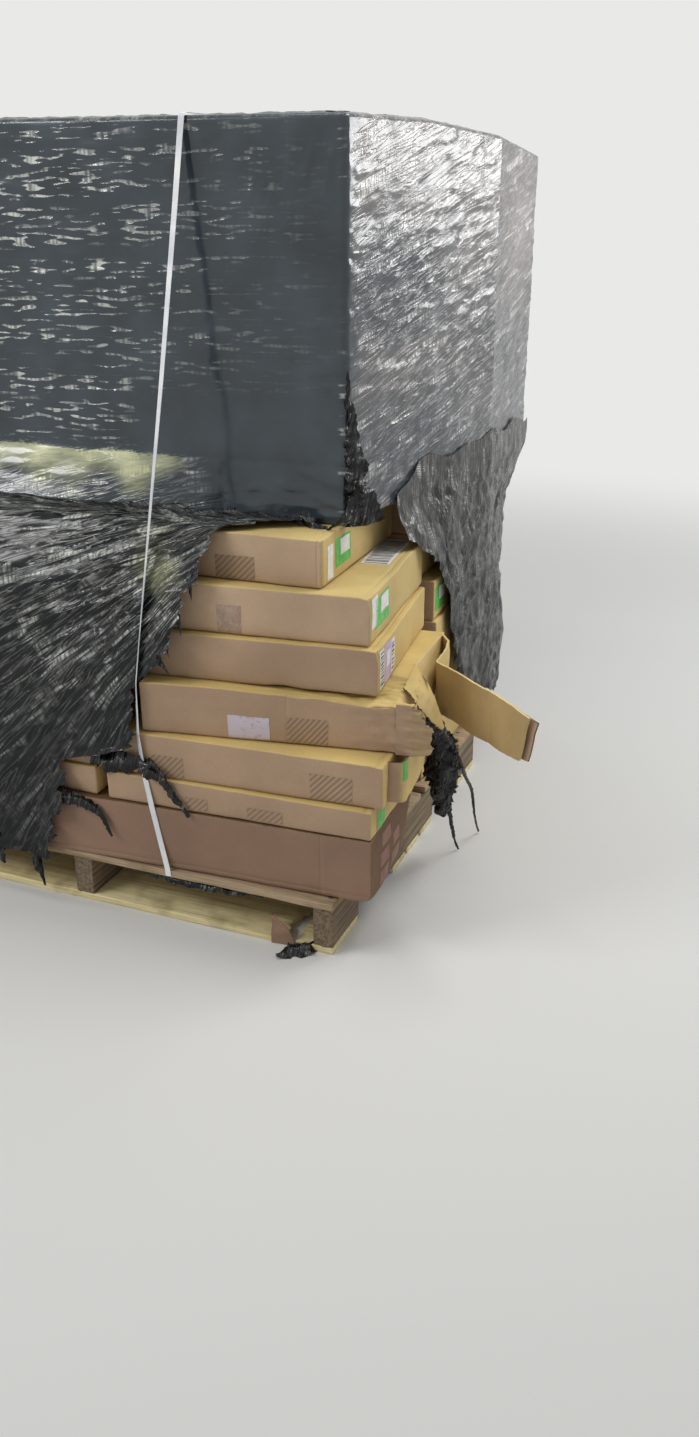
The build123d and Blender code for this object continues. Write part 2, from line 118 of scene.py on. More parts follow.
def noise_at(points, size, seed):
    """Smooth noise of about plus or minus one, with bumps of about the given size, at each point, or at
    each place along a line where there is one number a place."""
    if points.ndim == 1:
        points = points[:, None] * np.array([1.0, 0.0, 0.0])
    rng = np.random.default_rng(seed)
    total = np.zeros(points.shape[:-1])
    for _ in range(6):
        direction = rng.normal(size=3)
        direction /= np.linalg.norm(direction)
        frequency = 2 * math.pi / size * rng.uniform(0.55, 1.6)
        total += np.sin(points @ direction * frequency + rng.uniform(0, 2 * math.pi))
    return total / 3


def in_plane(across, up):
    """A sheet's places as points, for noise_at."""
    return np.stack(np.broadcast_arrays(across, up, 0.0), axis=-1)


def distance_along(line):
    """How far along a line of points each of them lies."""
    return np.concatenate([[0], np.cumsum(np.linalg.norm(np.diff(line, axis=0), axis=1))])


def resampled(line, at, places):
    """The line's points, known at some places along it, at others."""
    return np.stack([np.interp(places, at, column) for column in line.T], axis=1)


def heading(line):
    """The way that a line of points goes at each of them, of length one."""
    way = np.gradient(line, axis=0)
    return way / np.linalg.norm(way, axis=1, keepdims=True)


def add_piece(name, points, faces, materials, replaces=(), face_material=None, marks=None,
              sharp_angle=None):
    """A mesh piece that rides on the load and the nodes it stands for."""
    mesh = bpy.data.meshes.new(name)
    mesh.from_pydata(np.asarray(points).tolist(), [], np.asarray(faces).tolist())
    for material in materials:
        mesh.materials.append(material)
    mesh.polygons.foreach_set("use_smooth", [True] * len(mesh.polygons))
    if face_material is not None:
        mesh.polygons.foreach_set("material_index", face_material)
    for label, values in (marks or {}).items():
        attribute = mesh.attributes.new(label, "FLOAT", "POINT")
        attribute.data.foreach_set("value", np.asarray(values, dtype=np.float32).ravel())
    mesh.update()
    if sharp_angle:
        mesh.set_sharp_from_angle(angle=math.radians(sharp_angle))
    piece = bpy.data.objects.new(name, mesh)
    bpy.context.scene.collection.objects.link(piece)
    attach(piece, BODY)
    if replaces:
        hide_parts(*replaces)
    return piece


def add_film(name, grid, material, nodes, flip=False, **marks):
    """A sheet of film as a piece, from its grid of points in metres and its marks at each of them."""
    faces = grid_faces(*grid.shape[:2])
    if flip:
        faces = faces[:, ::-1]
    marks = {label: np.broadcast_to(values, grid.shape[:2]) for label, values in marks.items()}
    return add_piece(name, grid.reshape(-1, 3), faces, [material], nodes, marks=marks)


def grid_faces(rows, columns):
    """Quads of a grid of vertices, row after row."""
    row, column = np.meshgrid(np.arange(rows - 1), np.arange(columns - 1), indexing="ij")
    corner = (row * columns + column).ravel()
    return np.stack([corner, corner + 1, corner + columns + 1, corner + columns], axis=1)


def joined(parts):
    """Several (points, faces) as one."""
    points = np.concatenate([part[0] for part in parts])
    starts = np.cumsum([0] + [len(part[0]) for part in parts[:-1]])
    faces = np.concatenate([part[1] + start for part, start in zip(parts, starts)])
    return points, faces


def thickened(grid, thickness, rim_kind=1):
    """A sheet of real thickness from a grid of middle points, with a material number for each face: the
    rim has its own."""
    rows, columns = grid.shape[:2]
    normal = np.cross(np.gradient(grid, axis=1), np.gradient(grid, axis=0))
    normal /= np.maximum(np.linalg.norm(normal, axis=-1, keepdims=True), 1e-12)
    half = normal * thickness / 2
    count = rows * columns
    border = np.concatenate([
        np.arange(columns),
        np.arange(1, rows) * columns + columns - 1,
        (rows - 1) * columns + np.arange(columns - 2, -1, -1),
        np.arange(rows - 2, 0, -1) * columns,
    ])
    ahead = np.roll(border, -1)
    rim = np.stack([ahead, border, border + count, ahead + count], axis=1)
    front = grid_faces(rows, columns)
    points = np.concatenate([(grid + half).reshape(-1, 3), (grid - half).reshape(-1, 3)])
    faces = np.concatenate([front, front[:, ::-1] + count, rim])
    return points, faces, np.repeat([0, rim_kind], [2 * len(front), len(rim)])


def smooth_path(stops, step, window):
    """Points along a line through the stops, evenly spaced, its bends softened over the window."""
    stops = np.asarray(stops, dtype=float)
    length = distance_along(stops)
    count = max(4, int(length[-1] / 0.5))
    line = resampled(stops, length, np.linspace(0, length[-1], count))
    size = max(1, int(window / 0.5)) | 1
    pad = size // 2
    padded = np.concatenate([2 * line[:1] - line[pad:0:-1], line, 2 * line[-1:] - line[-2:-pad - 2:-1]])
    soft = np.stack([np.convolve(column, np.ones(size) / size, "valid") for column in padded.T], axis=1)
    picked = np.linspace(0, count - 1, max(3, int(length[-1] / step) + 1))
    return resampled(soft, np.arange(count), picked)


# Materials


def blend(node, amount, low, high, first, second, most=1.0):
    """A first colour that goes over into a second as the amount rises from low to high."""
    share = node("MapRange", amount, low, high, 0.0, most)
    colours = [linear(colour) if isinstance(colour, str) else colour for colour in (first, second)]
    return node("Mix", share[0], {6: colours[0], 7: colours[1]}, data_type="RGBA")[2]


def ripples(node, distance, spacing):
    """Even ripples over a distance, with so many millimetres from one to the next."""
    turns = node("Math", distance, 2 * math.pi / (spacing * MM), operation="MULTIPLY")
    return node("Math", turns[0], operation="SINE")[0]


def finish_surface(node, shader, colour, relief, strength, depth):
    """Link a surface's colour, and its relief, which is so many millimetres deep."""
    bump = node("Bump", {"Strength": strength, "Distance": depth * MM, "Height": relief})
    set_inputs(shader, {"Base Color": colour, "Normal": bump[0]})


def kraft_board(name, dull, painted_light_tone, ink=None):
    """Brown kraft corrugated board. The eye sees matt paper with fine fibre flecks, faint flutes under
    it and rubbed paler edges. Faces that look up or to the open right side take a second colour by
    their way: painted light, a yellower lit tone, or on the reddish board a darker painted shade."""
    material, node, shader, place = new_material(name, roughness=0.72, specular=0.25)
    normal = node("SeparateXYZ", node("TexCoord")["Normal"])
    spot = node("SeparateXYZ", place)
    # Painted light: faces that look up, and less so those that look right, take the second colour
    side = node("Math", normal[0], 0.8, operation="MULTIPLY")
    lit = node("Math", side[0], normal[2], operation="MAXIMUM")
    blotch = node("TexNoise", {"Vector": place, "Scale": 1 / (160 * MM), "Detail": 3.0})
    fleck = node("TexNoise", {"Vector": place, "Scale": 1 / (3.0 * MM), "Detail": 4.0, "Roughness": 0.7})
    shade = node("MapRange", blotch[0], 0.3, 0.7, 0.86, 1.08)
    speck = node("MapRange", fleck[0], 0.3, 0.7, 0.93, 1.06)
    tone = node("Math", shade[0], speck[0], operation="MULTIPLY")
    paper = blend(node, lit[0], 0.25, 0.85, dull, painted_light_tone)
    toned = node("VectorMath", paper, {"Scale": tone[0]}, operation="SCALE")
    # Paler rubbed edges; on the torn wall this mark is also a painted highlight along its crease
    edge = node("Attribute", attribute_name="edge")
    wear_and_highlight = node("Math", edge[2], fleck[0], operation="MULTIPLY")
    colour = blend(node, wear_and_highlight[0], 0.3, 0.75, toned[0], "#d6bb92", most=0.55)
    across = node("Math", spot[0], spot[1], operation="ADD")
    if ink:
        # Hatched ink patch: lines that rise to the right, 14 mm apart
        slope = node("Math", across[0], spot[2], operation="SUBTRACT")
        inked = node("MapRange", ripples(node, slope[0], 14.0), -0.15, 0.25, 0.0, 0.5)
        faded = node("Math", inked[0], shade[0], operation="MULTIPLY")
        colour = node("Mix", faded[0], {6: colour, 7: linear(ink)}, data_type="RGBA")[2]
    # Flutes show on upright faces only, 7.5 mm apart
    upright = node("MapRange", normal[2], 0.2, 0.6, 0.10, 0.0)
    washboard = node("Math", ripples(node, across[0], 7.5), upright[0], operation="MULTIPLY")
    relief = node("Math", fleck[0], washboard[0], operation="ADD")
    finish_surface(node, shader, colour, relief[0], 0.35, 0.5)
    return material


def torn_board(name):
    """Torn, open edge of corrugated board. The eye sees grey brown paper with open flutes; their dark
    bands are painted shade in the hollow channels.
    """
    material, node, shader, place = new_material(name, roughness=0.85, specular=0.15)
    spot = node("SeparateXYZ", place)
    fibre = node("TexNoise", {"Vector": place, "Scale": 1 / (4 * MM), "Detail": 5.0})
    # Dark bands 6.5 mm apart: painted shade in the open flutes
    uneven = node("Math", ripples(node, spot[2], 6.5), fibre[0], operation="MULTIPLY")
    colour = blend(node, uneven[0], -0.4, 0.5, "#5d4637", "#a78a75")
    finish_surface(node, shader, colour, fibre[0], 0.5, 0.8)
    return material


def sawn_softwood(name, pale, dark, along):
    """Rough sawn pallet softwood. The eye sees long grain lines, darker knots and grey handling dirt."""
    material, node, shader, place = new_material(name, roughness=0.78, specular=0.2)
    # Grain lines 6 mm wide and 220 mm long
    stretch = [1 / (6.0 * MM)] * 3
    stretch[along] = 1 / (220 * MM)
    grained = node("Mapping", {"Vector": place, "Scale": stretch})
    lines = node("TexNoise", {"Vector": grained[0], "Scale": 1.0, "Detail": 4.0, "Roughness": 0.65,
                              "Distortion": 0.4})
    patches = node("TexNoise", {"Vector": place, "Scale": 1 / (90 * MM), "Detail": 3.0})
    saw = node("TexNoise", {"Vector": place, "Scale": 1 / (2.5 * MM), "Detail": 3.0})
    wood = blend(node, lines[0], 0.38, 0.66, pale, dark)
    soiled = blend(node, patches[0], 0.52, 0.75, wood, "#6f5a3f", most=0.55)
    rough = node("Math", lines[0], saw[0], operation="ADD")
    finish_surface(node, shader, soiled, rough[0], 0.6, 1.0)
    return material


def drawn_noise(node, sheet, angle, long_mm, short_mm, detail, bend=0.25):
    """Noise drawn out along lines that rise at an angle in degrees across a sheet, scaled in mm."""
    turn = math.radians(angle)
    length = node("VectorMath", sheet, (math.cos(turn), math.sin(turn), 0), operation="DOT_PRODUCT")
    width = node("VectorMath", sheet, (-math.sin(turn), math.cos(turn), 0), operation="DOT_PRODUCT")
    long_way = node("Math", length[1], 1 / long_mm, operation="MULTIPLY")
    short_way = node("Math", width[1], 1 / short_mm, operation="MULTIPLY")
    pull = node("CombineXYZ", long_way[0], short_way[0])
    return node("TexNoise", {"Vector": pull[0], "Scale": 1.0, "Detail": detail, "Roughness": 0.6,
                             "Distortion": bend})[0]


def stretch_film(name, colour, roughness, thin, rise, specular):
    """Black LLDPE stretch film in several turns. The eye sees dark gloss: glass smooth where it is
    tight, crossed by short level dashes where its turns drag, and by sharp slanted crease lines where
    it is slack. Dashes and creases carry painted glints, past a streak of one a painted glare. Where
    thin it turns a warm cloudy grey, partly thin film and partly a painted sheen."""
    material, node, shader, place = new_material(name, roughness=roughness, ior=1.51, specular=specular)
    marks = {label: node("Attribute", attribute_name=label)[2]
             for label in ("slack", "dash", "thin", "streak", "across", "up")}
    # Every pattern follows the sheet's own millimetres across and up
    sheet = node("CombineXYZ", marks["across"], marks["up"])[0]

    # Level dashes: short blocks in rows, each cut by fine upright steps, as relief and painted glints
    blocks = drawn_noise(node, sheet, 1.5, 46.0, 8.0, 0.0)
    rows = drawn_noise(node, sheet, 1.0, 420.0, 26.0, 1.0)
    steps = drawn_noise(node, sheet, 88.0, 60.0, 9.0, 0.0)
    dashes = node("MapRange", blocks, 0.56, 0.64)[0]
    row = node("MapRange", rows, 0.46, 0.58)[0]
    step = node("MapRange", steps, 0.35, 0.6, 0.25, 1.0)[0]
    for factor in (row, step, marks["dash"]):
        dashes = node("Math", dashes, factor, operation="MULTIPLY")[0]

    # Slanted crease lines: sharp threads in two sizes, gathered in patches, the wide ones cut by steps
    threads = []
    sizes = ((rise, 320.0, 21.0, 0.065), (rise + 5.0, 120.0, 10.0, 0.045))
    for angle, long_mm, short_mm, sharp in sizes:
        web = drawn_noise(node, sheet, angle, long_mm, short_mm, 2.0, 0.5)
        centred = node("Math", web, 0.5, operation="SUBTRACT")
        folded = node("Math", centred[0], operation="ABSOLUTE")
        threads.append(node("MapRange", folded[0], 0.0, sharp, 1.0, 0.0)[0])
    gathered = drawn_noise(node, sheet, rise - 4.0, 95.0, 40.0, 2.0)
    cuts = drawn_noise(node, sheet, rise + 78.0, 36.0, 7.0, 0.0)
    patch = node("MapRange", gathered, 0.47, 0.59)
    cut = node("MapRange", cuts, 0.4, 0.58, 0.35, 1.0)
    coarse = node("Math", threads[0], patch[0], operation="MULTIPLY")
    coarse = node("Math", coarse[0], cut[0], operation="MULTIPLY")
    fine = node("Math", threads[1], 0.24, operation="MULTIPLY")
    lines = node("Math", coarse[0], fine[0], operation="MAXIMUM")
    creased = node("Math", lines[0], marks["slack"], operation="MULTIPLY")
    relief = node("Math", creased[0], dashes, operation="ADD")

    # The film's own colour, paler where it is thin, partly thin film and partly a painted sheen
    patches = node("TexNoise", {"Vector": place, "Scale": 1 / (120 * MM), "Detail": 3.0})
    shade = node("MapRange", patches[0], 0.3, 0.7, 0.75, 1.25)
    dark = node("VectorMath", linear(colour)[:3], {"Scale": shade[0]}, operation="SCALE")
    uneven = node("MapRange", gathered, 0.3, 0.7, 0.7, 1.3)
    share = node("Math", marks["thin"], uneven[0], operation="MULTIPLY", use_clamp=True)
    film = node("Mix", share[0], {6: dark[0], 7: linear(thin)}, data_type="RGBA")

    # Painted glints on creases and dashes. Past a streak of one they turn yellow, under a painted glare
    glare_amount = node("Math", marks["streak"], 1.0, operation="SUBTRACT", use_clamp=True)
    white = blend(node, marks["thin"], 0.0, 0.04, "#f3f6ee", "#f8f5f3")
    white = blend(node, glare_amount[0], 0.0, 0.3, white, "#dfe3a4")
    calm = node("MapRange", glare_amount[0], 0.3, 0.9, 1.0, 0.35)
    painted_glint = node("Math", lines[0], marks["streak"], operation="MULTIPLY", use_clamp=True)
    painted_glint = node("Math", painted_glint[0], calm[0], operation="MULTIPLY")
    painted_glint = node("Math", painted_glint[0], dashes, operation="MAXIMUM", use_clamp=True)
    glint_share = node("Math", painted_glint[0], 0.94, operation="MULTIPLY")
    result = node("Mix", glint_share[0], {6: film[2], 7: white}, data_type="RGBA")
    # The painted glare, ragged in level streaks
    speckle = drawn_noise(node, sheet, 4.0, 60.0, 12.0, 3.0)
    ragged = node("MapRange", speckle, 0.34, 0.6, 0.55, 1.0)
    veil = node("Math", glare_amount[0], 1.3, operation="POWER")
    painted_glare = node("Math", veil[0], ragged[0], operation="MULTIPLY")
    result = node("Mix", painted_glare[0], {6: result[2], 7: linear("#eeefc2")}, data_type="RGBA")
    finish_surface(node, shader, result[2], relief[0], 1.0, 1.8)
    gloss = node("MapRange", patches[0], 0.3, 0.7, roughness * 0.7, roughness * 1.5)
    set_inputs(shader, {"Roughness": gloss[0]})
    return material


def woven_strap(name):
    """White polypropylene strapping. The eye sees satin white with a fine pressed diamond pattern."""
    material, node, shader, place = new_material(name, roughness=0.38)
    spot = node("SeparateXYZ", place)
    ribs = []
    for sign in (1.0, -1.0):
        slope = node("Math", spot[0], sign, operation="MULTIPLY")
        total = node("Math", slope[0], spot[2], operation="ADD")
        ribs.append(ripples(node, total[0], 3.2))
    diamond = node("Math", *ribs, operation="MULTIPLY")
    dust = node("TexNoise", {"Vector": place, "Scale": 1 / (60 * MM), "Detail": 4.0})
    colour = blend(node, dust[0], 0.35, 0.7, "#f2f3f5", "#cfd3da")
    finish_surface(node, shader, colour, diamond[0], 0.3, 0.3)
    return material


def sticker_paper(name, colour, blotch):
    """Coated sticker paper. The eye sees flat colour with slight print unevenness and soft shine."""
    material, node, shader, place = new_material(name, roughness=0.45, specular=0.4)
    uneven = node("TexNoise", {"Vector": place, "Scale": 1 / (14 * MM), "Detail": 3.0})
    set_inputs(shader, {"Base Color": blend(node, uneven[0], 0.35, 0.7, colour, blotch)})
    return material


def clear_tape(name, silver, lifted_from):
    """Clear packing tape stuck on kraft. The eye sees silvery lilac where it has lifted and brown
    where it holds, under a glossy wrinkled surface."""
    material, node, shader, place = new_material(name, roughness=0.22, specular=0.6)
    lifted = node("TexNoise", {"Vector": place, "Scale": 1 / (13 * MM), "Detail": 6.0, "Roughness": 0.7,
                               "Distortion": 0.8})
    colour = blend(node, lifted[0], lifted_from, lifted_from + 0.16, "#a68a74", silver)
    finish_surface(node, shader, colour, lifted[0], 0.7, 1.0)
    return material


def steel_nail(name):
    """Steel pallet nail. The eye sees a small dark grey head with rust at its rim."""
    material, node, shader, place = new_material(name, roughness=0.5)
    rust = node("TexNoise", {"Vector": place, "Scale": 1 / (4 * MM)})
    colour = blend(node, rust[0], 0.0, 1.0, "#5c5a58", "#6e4a33")
    set_inputs(shader, {"Base Color": colour, "Metallic": 0.7})
    return material


# Each board's second colour is painted light on faces that look up or right; the reddish one's is
# painted shade
KRAFT = kraft_board("kraft_board", "#b5997f", "#d2b878")
KRAFT_LIGHT = kraft_board("kraft_board_light", "#c6aa8e", "#ceb67a")
KRAFT_PLAIN = kraft_board("kraft_board_reddish", "#977a66", "#6d533b")
KRAFT_INNER = kraft_board("kraft_board_inner_face", "#b89d6f", "#d0b677")
HATCHED = kraft_board("hatched_ink_on_kraft", "#b1967c", "#cbb074", ink="#6b5849")
KRAFT_CUT = kraft_board("kraft_board_cut_edge", "#c3ab7c", "#d8c48c")
TORN = torn_board("torn_corrugated_edge")
# The bottom boards' very pale yellow is partly painted light: yellow lamp light on their front edges
PALE_WOOD = sawn_softwood("sawn_softwood_pale", "#efe3b6", "#cdb97f", along=0)
DECK_WOOD = sawn_softwood("sawn_softwood_deck", "#b9a488", "#8f785c", along=0)
STRINGER_WOOD = sawn_softwood("sawn_softwood_stringer", "#8d7d68", "#5c4e41", along=1)
# How steeply the creases of the slack and of the tight film rise, in degrees
FILM_RISE = 28.0
WRAP_RISE = 13.0
# The wrap's black film is painted a lighter blue grey than the skirt's: a painted reflection of a grey
# room
BLACK_FILM = stretch_film("black_stretch_film", "#0b0e12", 0.15, "#8a8886", FILM_RISE, specular=0.3)
WRAP_FILM = stretch_film("black_stretch_film_wrap", "#3a434a", 0.13, "#978f8c", WRAP_RISE, specular=0.5)
STRAP = woven_strap("polypropylene_strapping")
WHITE_PAPER = sticker_paper("white_sticker", "#eceae6", "#d9d8d8")
GREEN_PAPER = sticker_paper("green_sticker", "#4fae4c", "#6cc35f")
LILAC_PAPER = sticker_paper("lilac_sticker", "#c9b4d6", "#b79fca")
BAR_INK = sticker_paper("grey_print", "#55535a", "#3e3c42")
RED_INK = sticker_paper("reddish_brown_print", "#7d5040", "#8a6250")
TAPE = clear_tape("clear_packing_tape", "#cfc6d3", 0.3)
FLAT_TAPE = clear_tape("clear_tape_pressed_flat", "#b9a18d", 0.45)
NAIL = steel_nail("steel_nail")


# Cartons


def ticks(length, step, extra=()):
    """Grid positions along a carton's edge: close at the rounded corners, even between them."""
    corner = [0.0, 0.35 * EDGE_RADIUS, 0.7 * EDGE_RADIUS, EDGE_RADIUS, 3 * EDGE_RADIUS]
    count = max(2, round((length - 2 * corner[-1]) / step) + 1)
    middle = np.linspace(corner[-1], length - corner[-1], count)
    every = [*corner, *middle, *[length - place for place in corner], *extra]
    return np.unique(np.round(every, 3))


def box_surface(xs, ys, zs):
    """Welded grid over the six faces of a box, its faces outward."""
    parts = []
    lines = (xs, ys, zs)
    for axis in range(3):
        first, second = (axis + 1) % 3, (axis + 2) % 3
        faces = grid_faces(len(lines[first]), len(lines[second]))
        for end in (0, -1):
            points = np.empty((len(lines[first]), len(lines[second]), 3))
            points[..., first] = lines[first][:, None]
            points[..., second] = lines[second]
            points[..., axis] = lines[axis][end]
            parts.append((points.reshape(-1, 3), faces if end == 0 else faces[:, ::-1]))
    points, faces = joined(parts)
    keys, index = np.unique(np.round(points, 3), axis=0, return_inverse=True)
    return keys, index.ravel()[faces]


def rounded(points, low, high, radius):
    """Points of a plain box, moved onto its rounded edges and corners."""
    inner = np.clip(points, low + radius, high - radius)
    out = points - inner
    reach = np.linalg.norm(out, axis=1, keepdims=True)
    return np.where(reach > 1e-9, inner + out / np.maximum(reach, 1e-9) * radius, points)


# A carton's faces: the two directions along each, the one out of it, and its sign
FACES = {"front": (0, 2, 1, -1), "right": (1, 2, 0, 1), "top": (0, 1, 2, 1)}


class Carton:
    """A closed carton in its own directions: x along its front (0 at the right end), y back, z up."""

    def __init__(self, corner, turn, size, seed, bow=(2.0, 2.0, -2.5), grooves=(), dents=(), warp=None):
        self.corner = np.asarray(corner)
        self.turn = math.radians(turn)
        self.size = np.asarray(size, dtype=float)
        self.low = np.array([-self.size[0], 0.0, 0.0])
        self.seed = seed
        self.bow = bow
        self.grooves = grooves
        self.dents = dents
        self.warp = warp

    def shape(self, points):
        """Where points of the plain box really lie: rounded, bowed, dented and scored."""
        low, high = self.low, self.low + self.size
        shaped = rounded(points, low, high, EDGE_RADIUS)
        share = (points - low) / self.size
        hump = np.sin(math.pi * np.clip(share, 0, 1))
        shaped[:, 0] += self.bow[0] * (2 * share[:, 0] - 1) * hump[:, 1] * hump[:, 2]
        shaped[:, 1] += self.bow[1] * (2 * share[:, 1] - 1) * hump[:, 0] * hump[:, 2]
        shaped[:, 2] += self.bow[2] * np.maximum(2 * share[:, 2] - 1, 0) * hump[:, 0] * hump[:, 1]
        # Its lower edges are rounder, which leaves a dark line where it stands on another
        sides = np.minimum(points[:, :2] - low[:2], (high - points)[:, :2])
        rim = np.exp(-sides / 5.0)
        foot = np.clip(1 - points[:, 2] / 9.0, 0, 1) ** 2
        towards = np.sign(low[:2] + high[:2] - 2 * points[:, :2])
        shaped[:, :2] += 2.6 * foot[:, None] * rim * towards
        shaped[:, 2] += 2.4 * foot * rim.max(axis=1)
        for face_axis, face_at, line_axis, line_at, width, depth in self.grooves:
            on_face = np.abs(points[:, face_axis] - face_at) < 0.01
            near = np.clip(1 - np.abs(points[:, line_axis] - line_at) / width, 0, 1)
            sign = 1 if face_at > 0.5 * (low + high)[face_axis] else -1
            shaped[:, face_axis] -= np.where(on_face, sign * depth * near, 0)
        for centre, radius, push in self.dents:
            near = np.exp(-np.sum((points - np.array(centre)) ** 2, axis=1) / radius ** 2)
            shaped += near[:, None] * np.array(push)
        for axis in range(3):
            shaped[:, axis] += 0.8 * noise_at(points, 170.0, self.seed + axis)
            shaped[:, axis] += 0.35 * noise_at(points, 45.0, self.seed + 7 + axis)
        if self.warp:
            self.warp(points, shaped)
        return shaped

    def placed(self, shaped):
        """Points of the carton in the frame."""
        cosine, sine = math.cos(self.turn), math.sin(self.turn)
        world = np.empty_like(shaped)
        world[:, 0] = self.corner[0] + MM * (shaped[:, 0] * cosine - shaped[:, 1] * sine)
        world[:, 1] = self.corner[1] + MM * (shaped[:, 0] * sine + shaped[:, 1] * cosine)
        world[:, 2] = self.corner[2] + MM * shaped[:, 2]
        return world

    def mesh(self, step, fine=((), (), ())):
        """The carton's points and faces, and how near each point is to an edge. fine holds extra grid
        places on each axis, measured from the carton's left, front and bottom."""
        extra = [list(places) for places in fine]
        for _, _, line_axis, line_at, width, _ in self.grooves:
            start = line_at + (self.size[0] if line_axis == 0 else 0)
            extra[line_axis] += [start - width, start, start + width]
        lines = [ticks(self.size[axis], step, extra[axis]) for axis in range(3)]
        points, faces = box_surface(lines[0] - self.size[0], lines[1], lines[2])
        gaps = np.sort(np.minimum(points - self.low, self.low + self.size - points), axis=1)
        return self.placed(self.shape(points)), faces, np.exp(-gaps[:, 1] / 4.0)

    def patch(self, face, low, high, lift, step):
        """A small sheet on the front, right or top face, between two corners given on that face."""
        first, second, out, sign = FACES[face]
        columns, rows = (max(2, int((high[way] - low[way]) / step) + 2) for way in (0, 1))
        points = np.zeros((rows, columns, 3))
        points[..., first] = np.linspace(low[0], high[0], columns)
        points[..., second] = np.linspace(low[1], high[1], rows)[:, None]
        points[..., out] = self.size[2] if face == "top" else 0.0
        shaped = self.shape(points.reshape(-1, 3))
        shaped[:, out] += sign * lift
        return self.placed(shaped), grid_faces(rows, columns)


def front_carton(name, seed, **options):
    """The visible front carton of a node, at the node's own level and height."""
    overhang, setback, turn, length = FRONT_CARTONS[name]
    low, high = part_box(name)
    height = CRUSHED_HEIGHT if name == "carton_crushed" else (high[2] - low[2]) / MM
    corner = on_pallet(overhang, setback, low[2] / MM)
    return Carton(corner, turn, (length, CARTON_DEPTH, height), seed, **options)


def corner_strip(height, back):
    """Grooves of a front carton: the fold on its top, and the folded strip's edge on its right face."""
    return [(2, height, 0, -14.0, 1.6, 1.5), (0, 0.0, 1, back, 2.6, 5.5)]


CARTONS = {}


def build_front_cartons():
    """The front cartons but the crushed one, each with its own board and wear."""
    wear = {
        "carton_base": (KRAFT_PLAIN, dict(
            seed=11, bow=(5.0, 2.5, -1.5),
            grooves=[(1, 0.0, 2, 16.0, 2.0, 1.2), (1, 0.0, 0, -111.0, 1.6, 0.8)],
            dents=[((0, 450, 0), 150.0, (-46, 0, 22)), ((0, 0, 0), 22.0, (-4, 4, 2)),
                   ((-735, 0, 50), 26.0, (0, -4, 0))])),
        "carton_thin": (KRAFT, dict(seed=23, bow=(1.5, 1.2, -1.0), grooves=corner_strip(66.0, 38.0))),
        "carton_third": (KRAFT, dict(
            seed=31, bow=(1.0, 2.0, -2.0), grooves=corner_strip(98.0, 34.0),
            dents=[((0, 0, 98), 18.0, (-2, 2, -3)), ((0, 330, 50), 150.0, (-20, 0, 0))])),
        "carton_fifth": (KRAFT, dict(
            seed=53, bow=(2.5, 2.0, -2.0), grooves=corner_strip(99.0, 6.0),
            dents=[((-204, 0, 0), 30.0, (0, 1, 4)), ((0, 0, 99), 16.0, (-4, 3, -4))])),
        "carton_sixth": (KRAFT_LIGHT, dict(
            seed=61, bow=(2.0, 2.0, -2.5), grooves=corner_strip(104.0, 6.0),
            dents=[((0, 0, 104), 15.0, (-4, 3, -5)), ((-70, 200, 104), 60.0, (0, 0, -2))])),
        "carton_seventh": (KRAFT_LIGHT, dict(
            seed=71, bow=(1.5, 2.5, -1.5),
            grooves=[*corner_strip(101.0, 6.0), (1, 0.0, 0, -11.0, 1.6, 1.0)])),
    }
    for name, (board, options) in wear.items():
        CARTONS[name] = front_carton(name, **options)
        points, faces, edge = CARTONS[name].mesh(15.0)
        add_piece(name + "_board", points, faces, [board], [name], marks={"edge": edge})


build_front_cartons()


# Crushed carton: places in its own directions, out from its right face, back from its front face and up
# from its bottom.

# Torn wall: its plan from the hinge behind to the tip, how much shorter its tip is at the bottom, how
# far from the tip its crease is, and the second ply that the tip is folded into
WALL_PLAN = [(-1, 428), (20, 388), (13, 253), (142, 107), (232, -2)]
WALL_THICK = 5.0
WALL_SLANT = 27.0
WALL_CREASE = 141.0
PLY_LENGTH = 62.0
PLY_GAP = 13.0
# Ragged ends of the front wall: how far each layer reaches at each height
RAGGED = [
    ([0, 3, 10, 28, 40, 55, 64, 68, 73, 80, 88, 100, 110],
     [36, 42, 44, 43, 45, 44, 40, 28, 30, 20, 24, 14, 2]),
    ([2, 9, 30, 52, 60, 74, 84, 92, 106], [12, 30, 33, 34, 24, 27, 22, 9, 2]),
]
RAGGED_TURN = 25.0
# Tongue of the torn top: its left and right edges, from its root on the top down to its tip
TONGUE_LEFT = [(-31, 74, 115), (-20, 62, 112), (-2, 50, 93), (22, 53, 62), (36, 76, 36), (45, 98, 20)]
TONGUE_RIGHT = [(-31, 224, 114), (-12, 170, 116), (10, 118, 114), (27, 116, 78), (43, 116, 40),
                (48, 106, 21)]


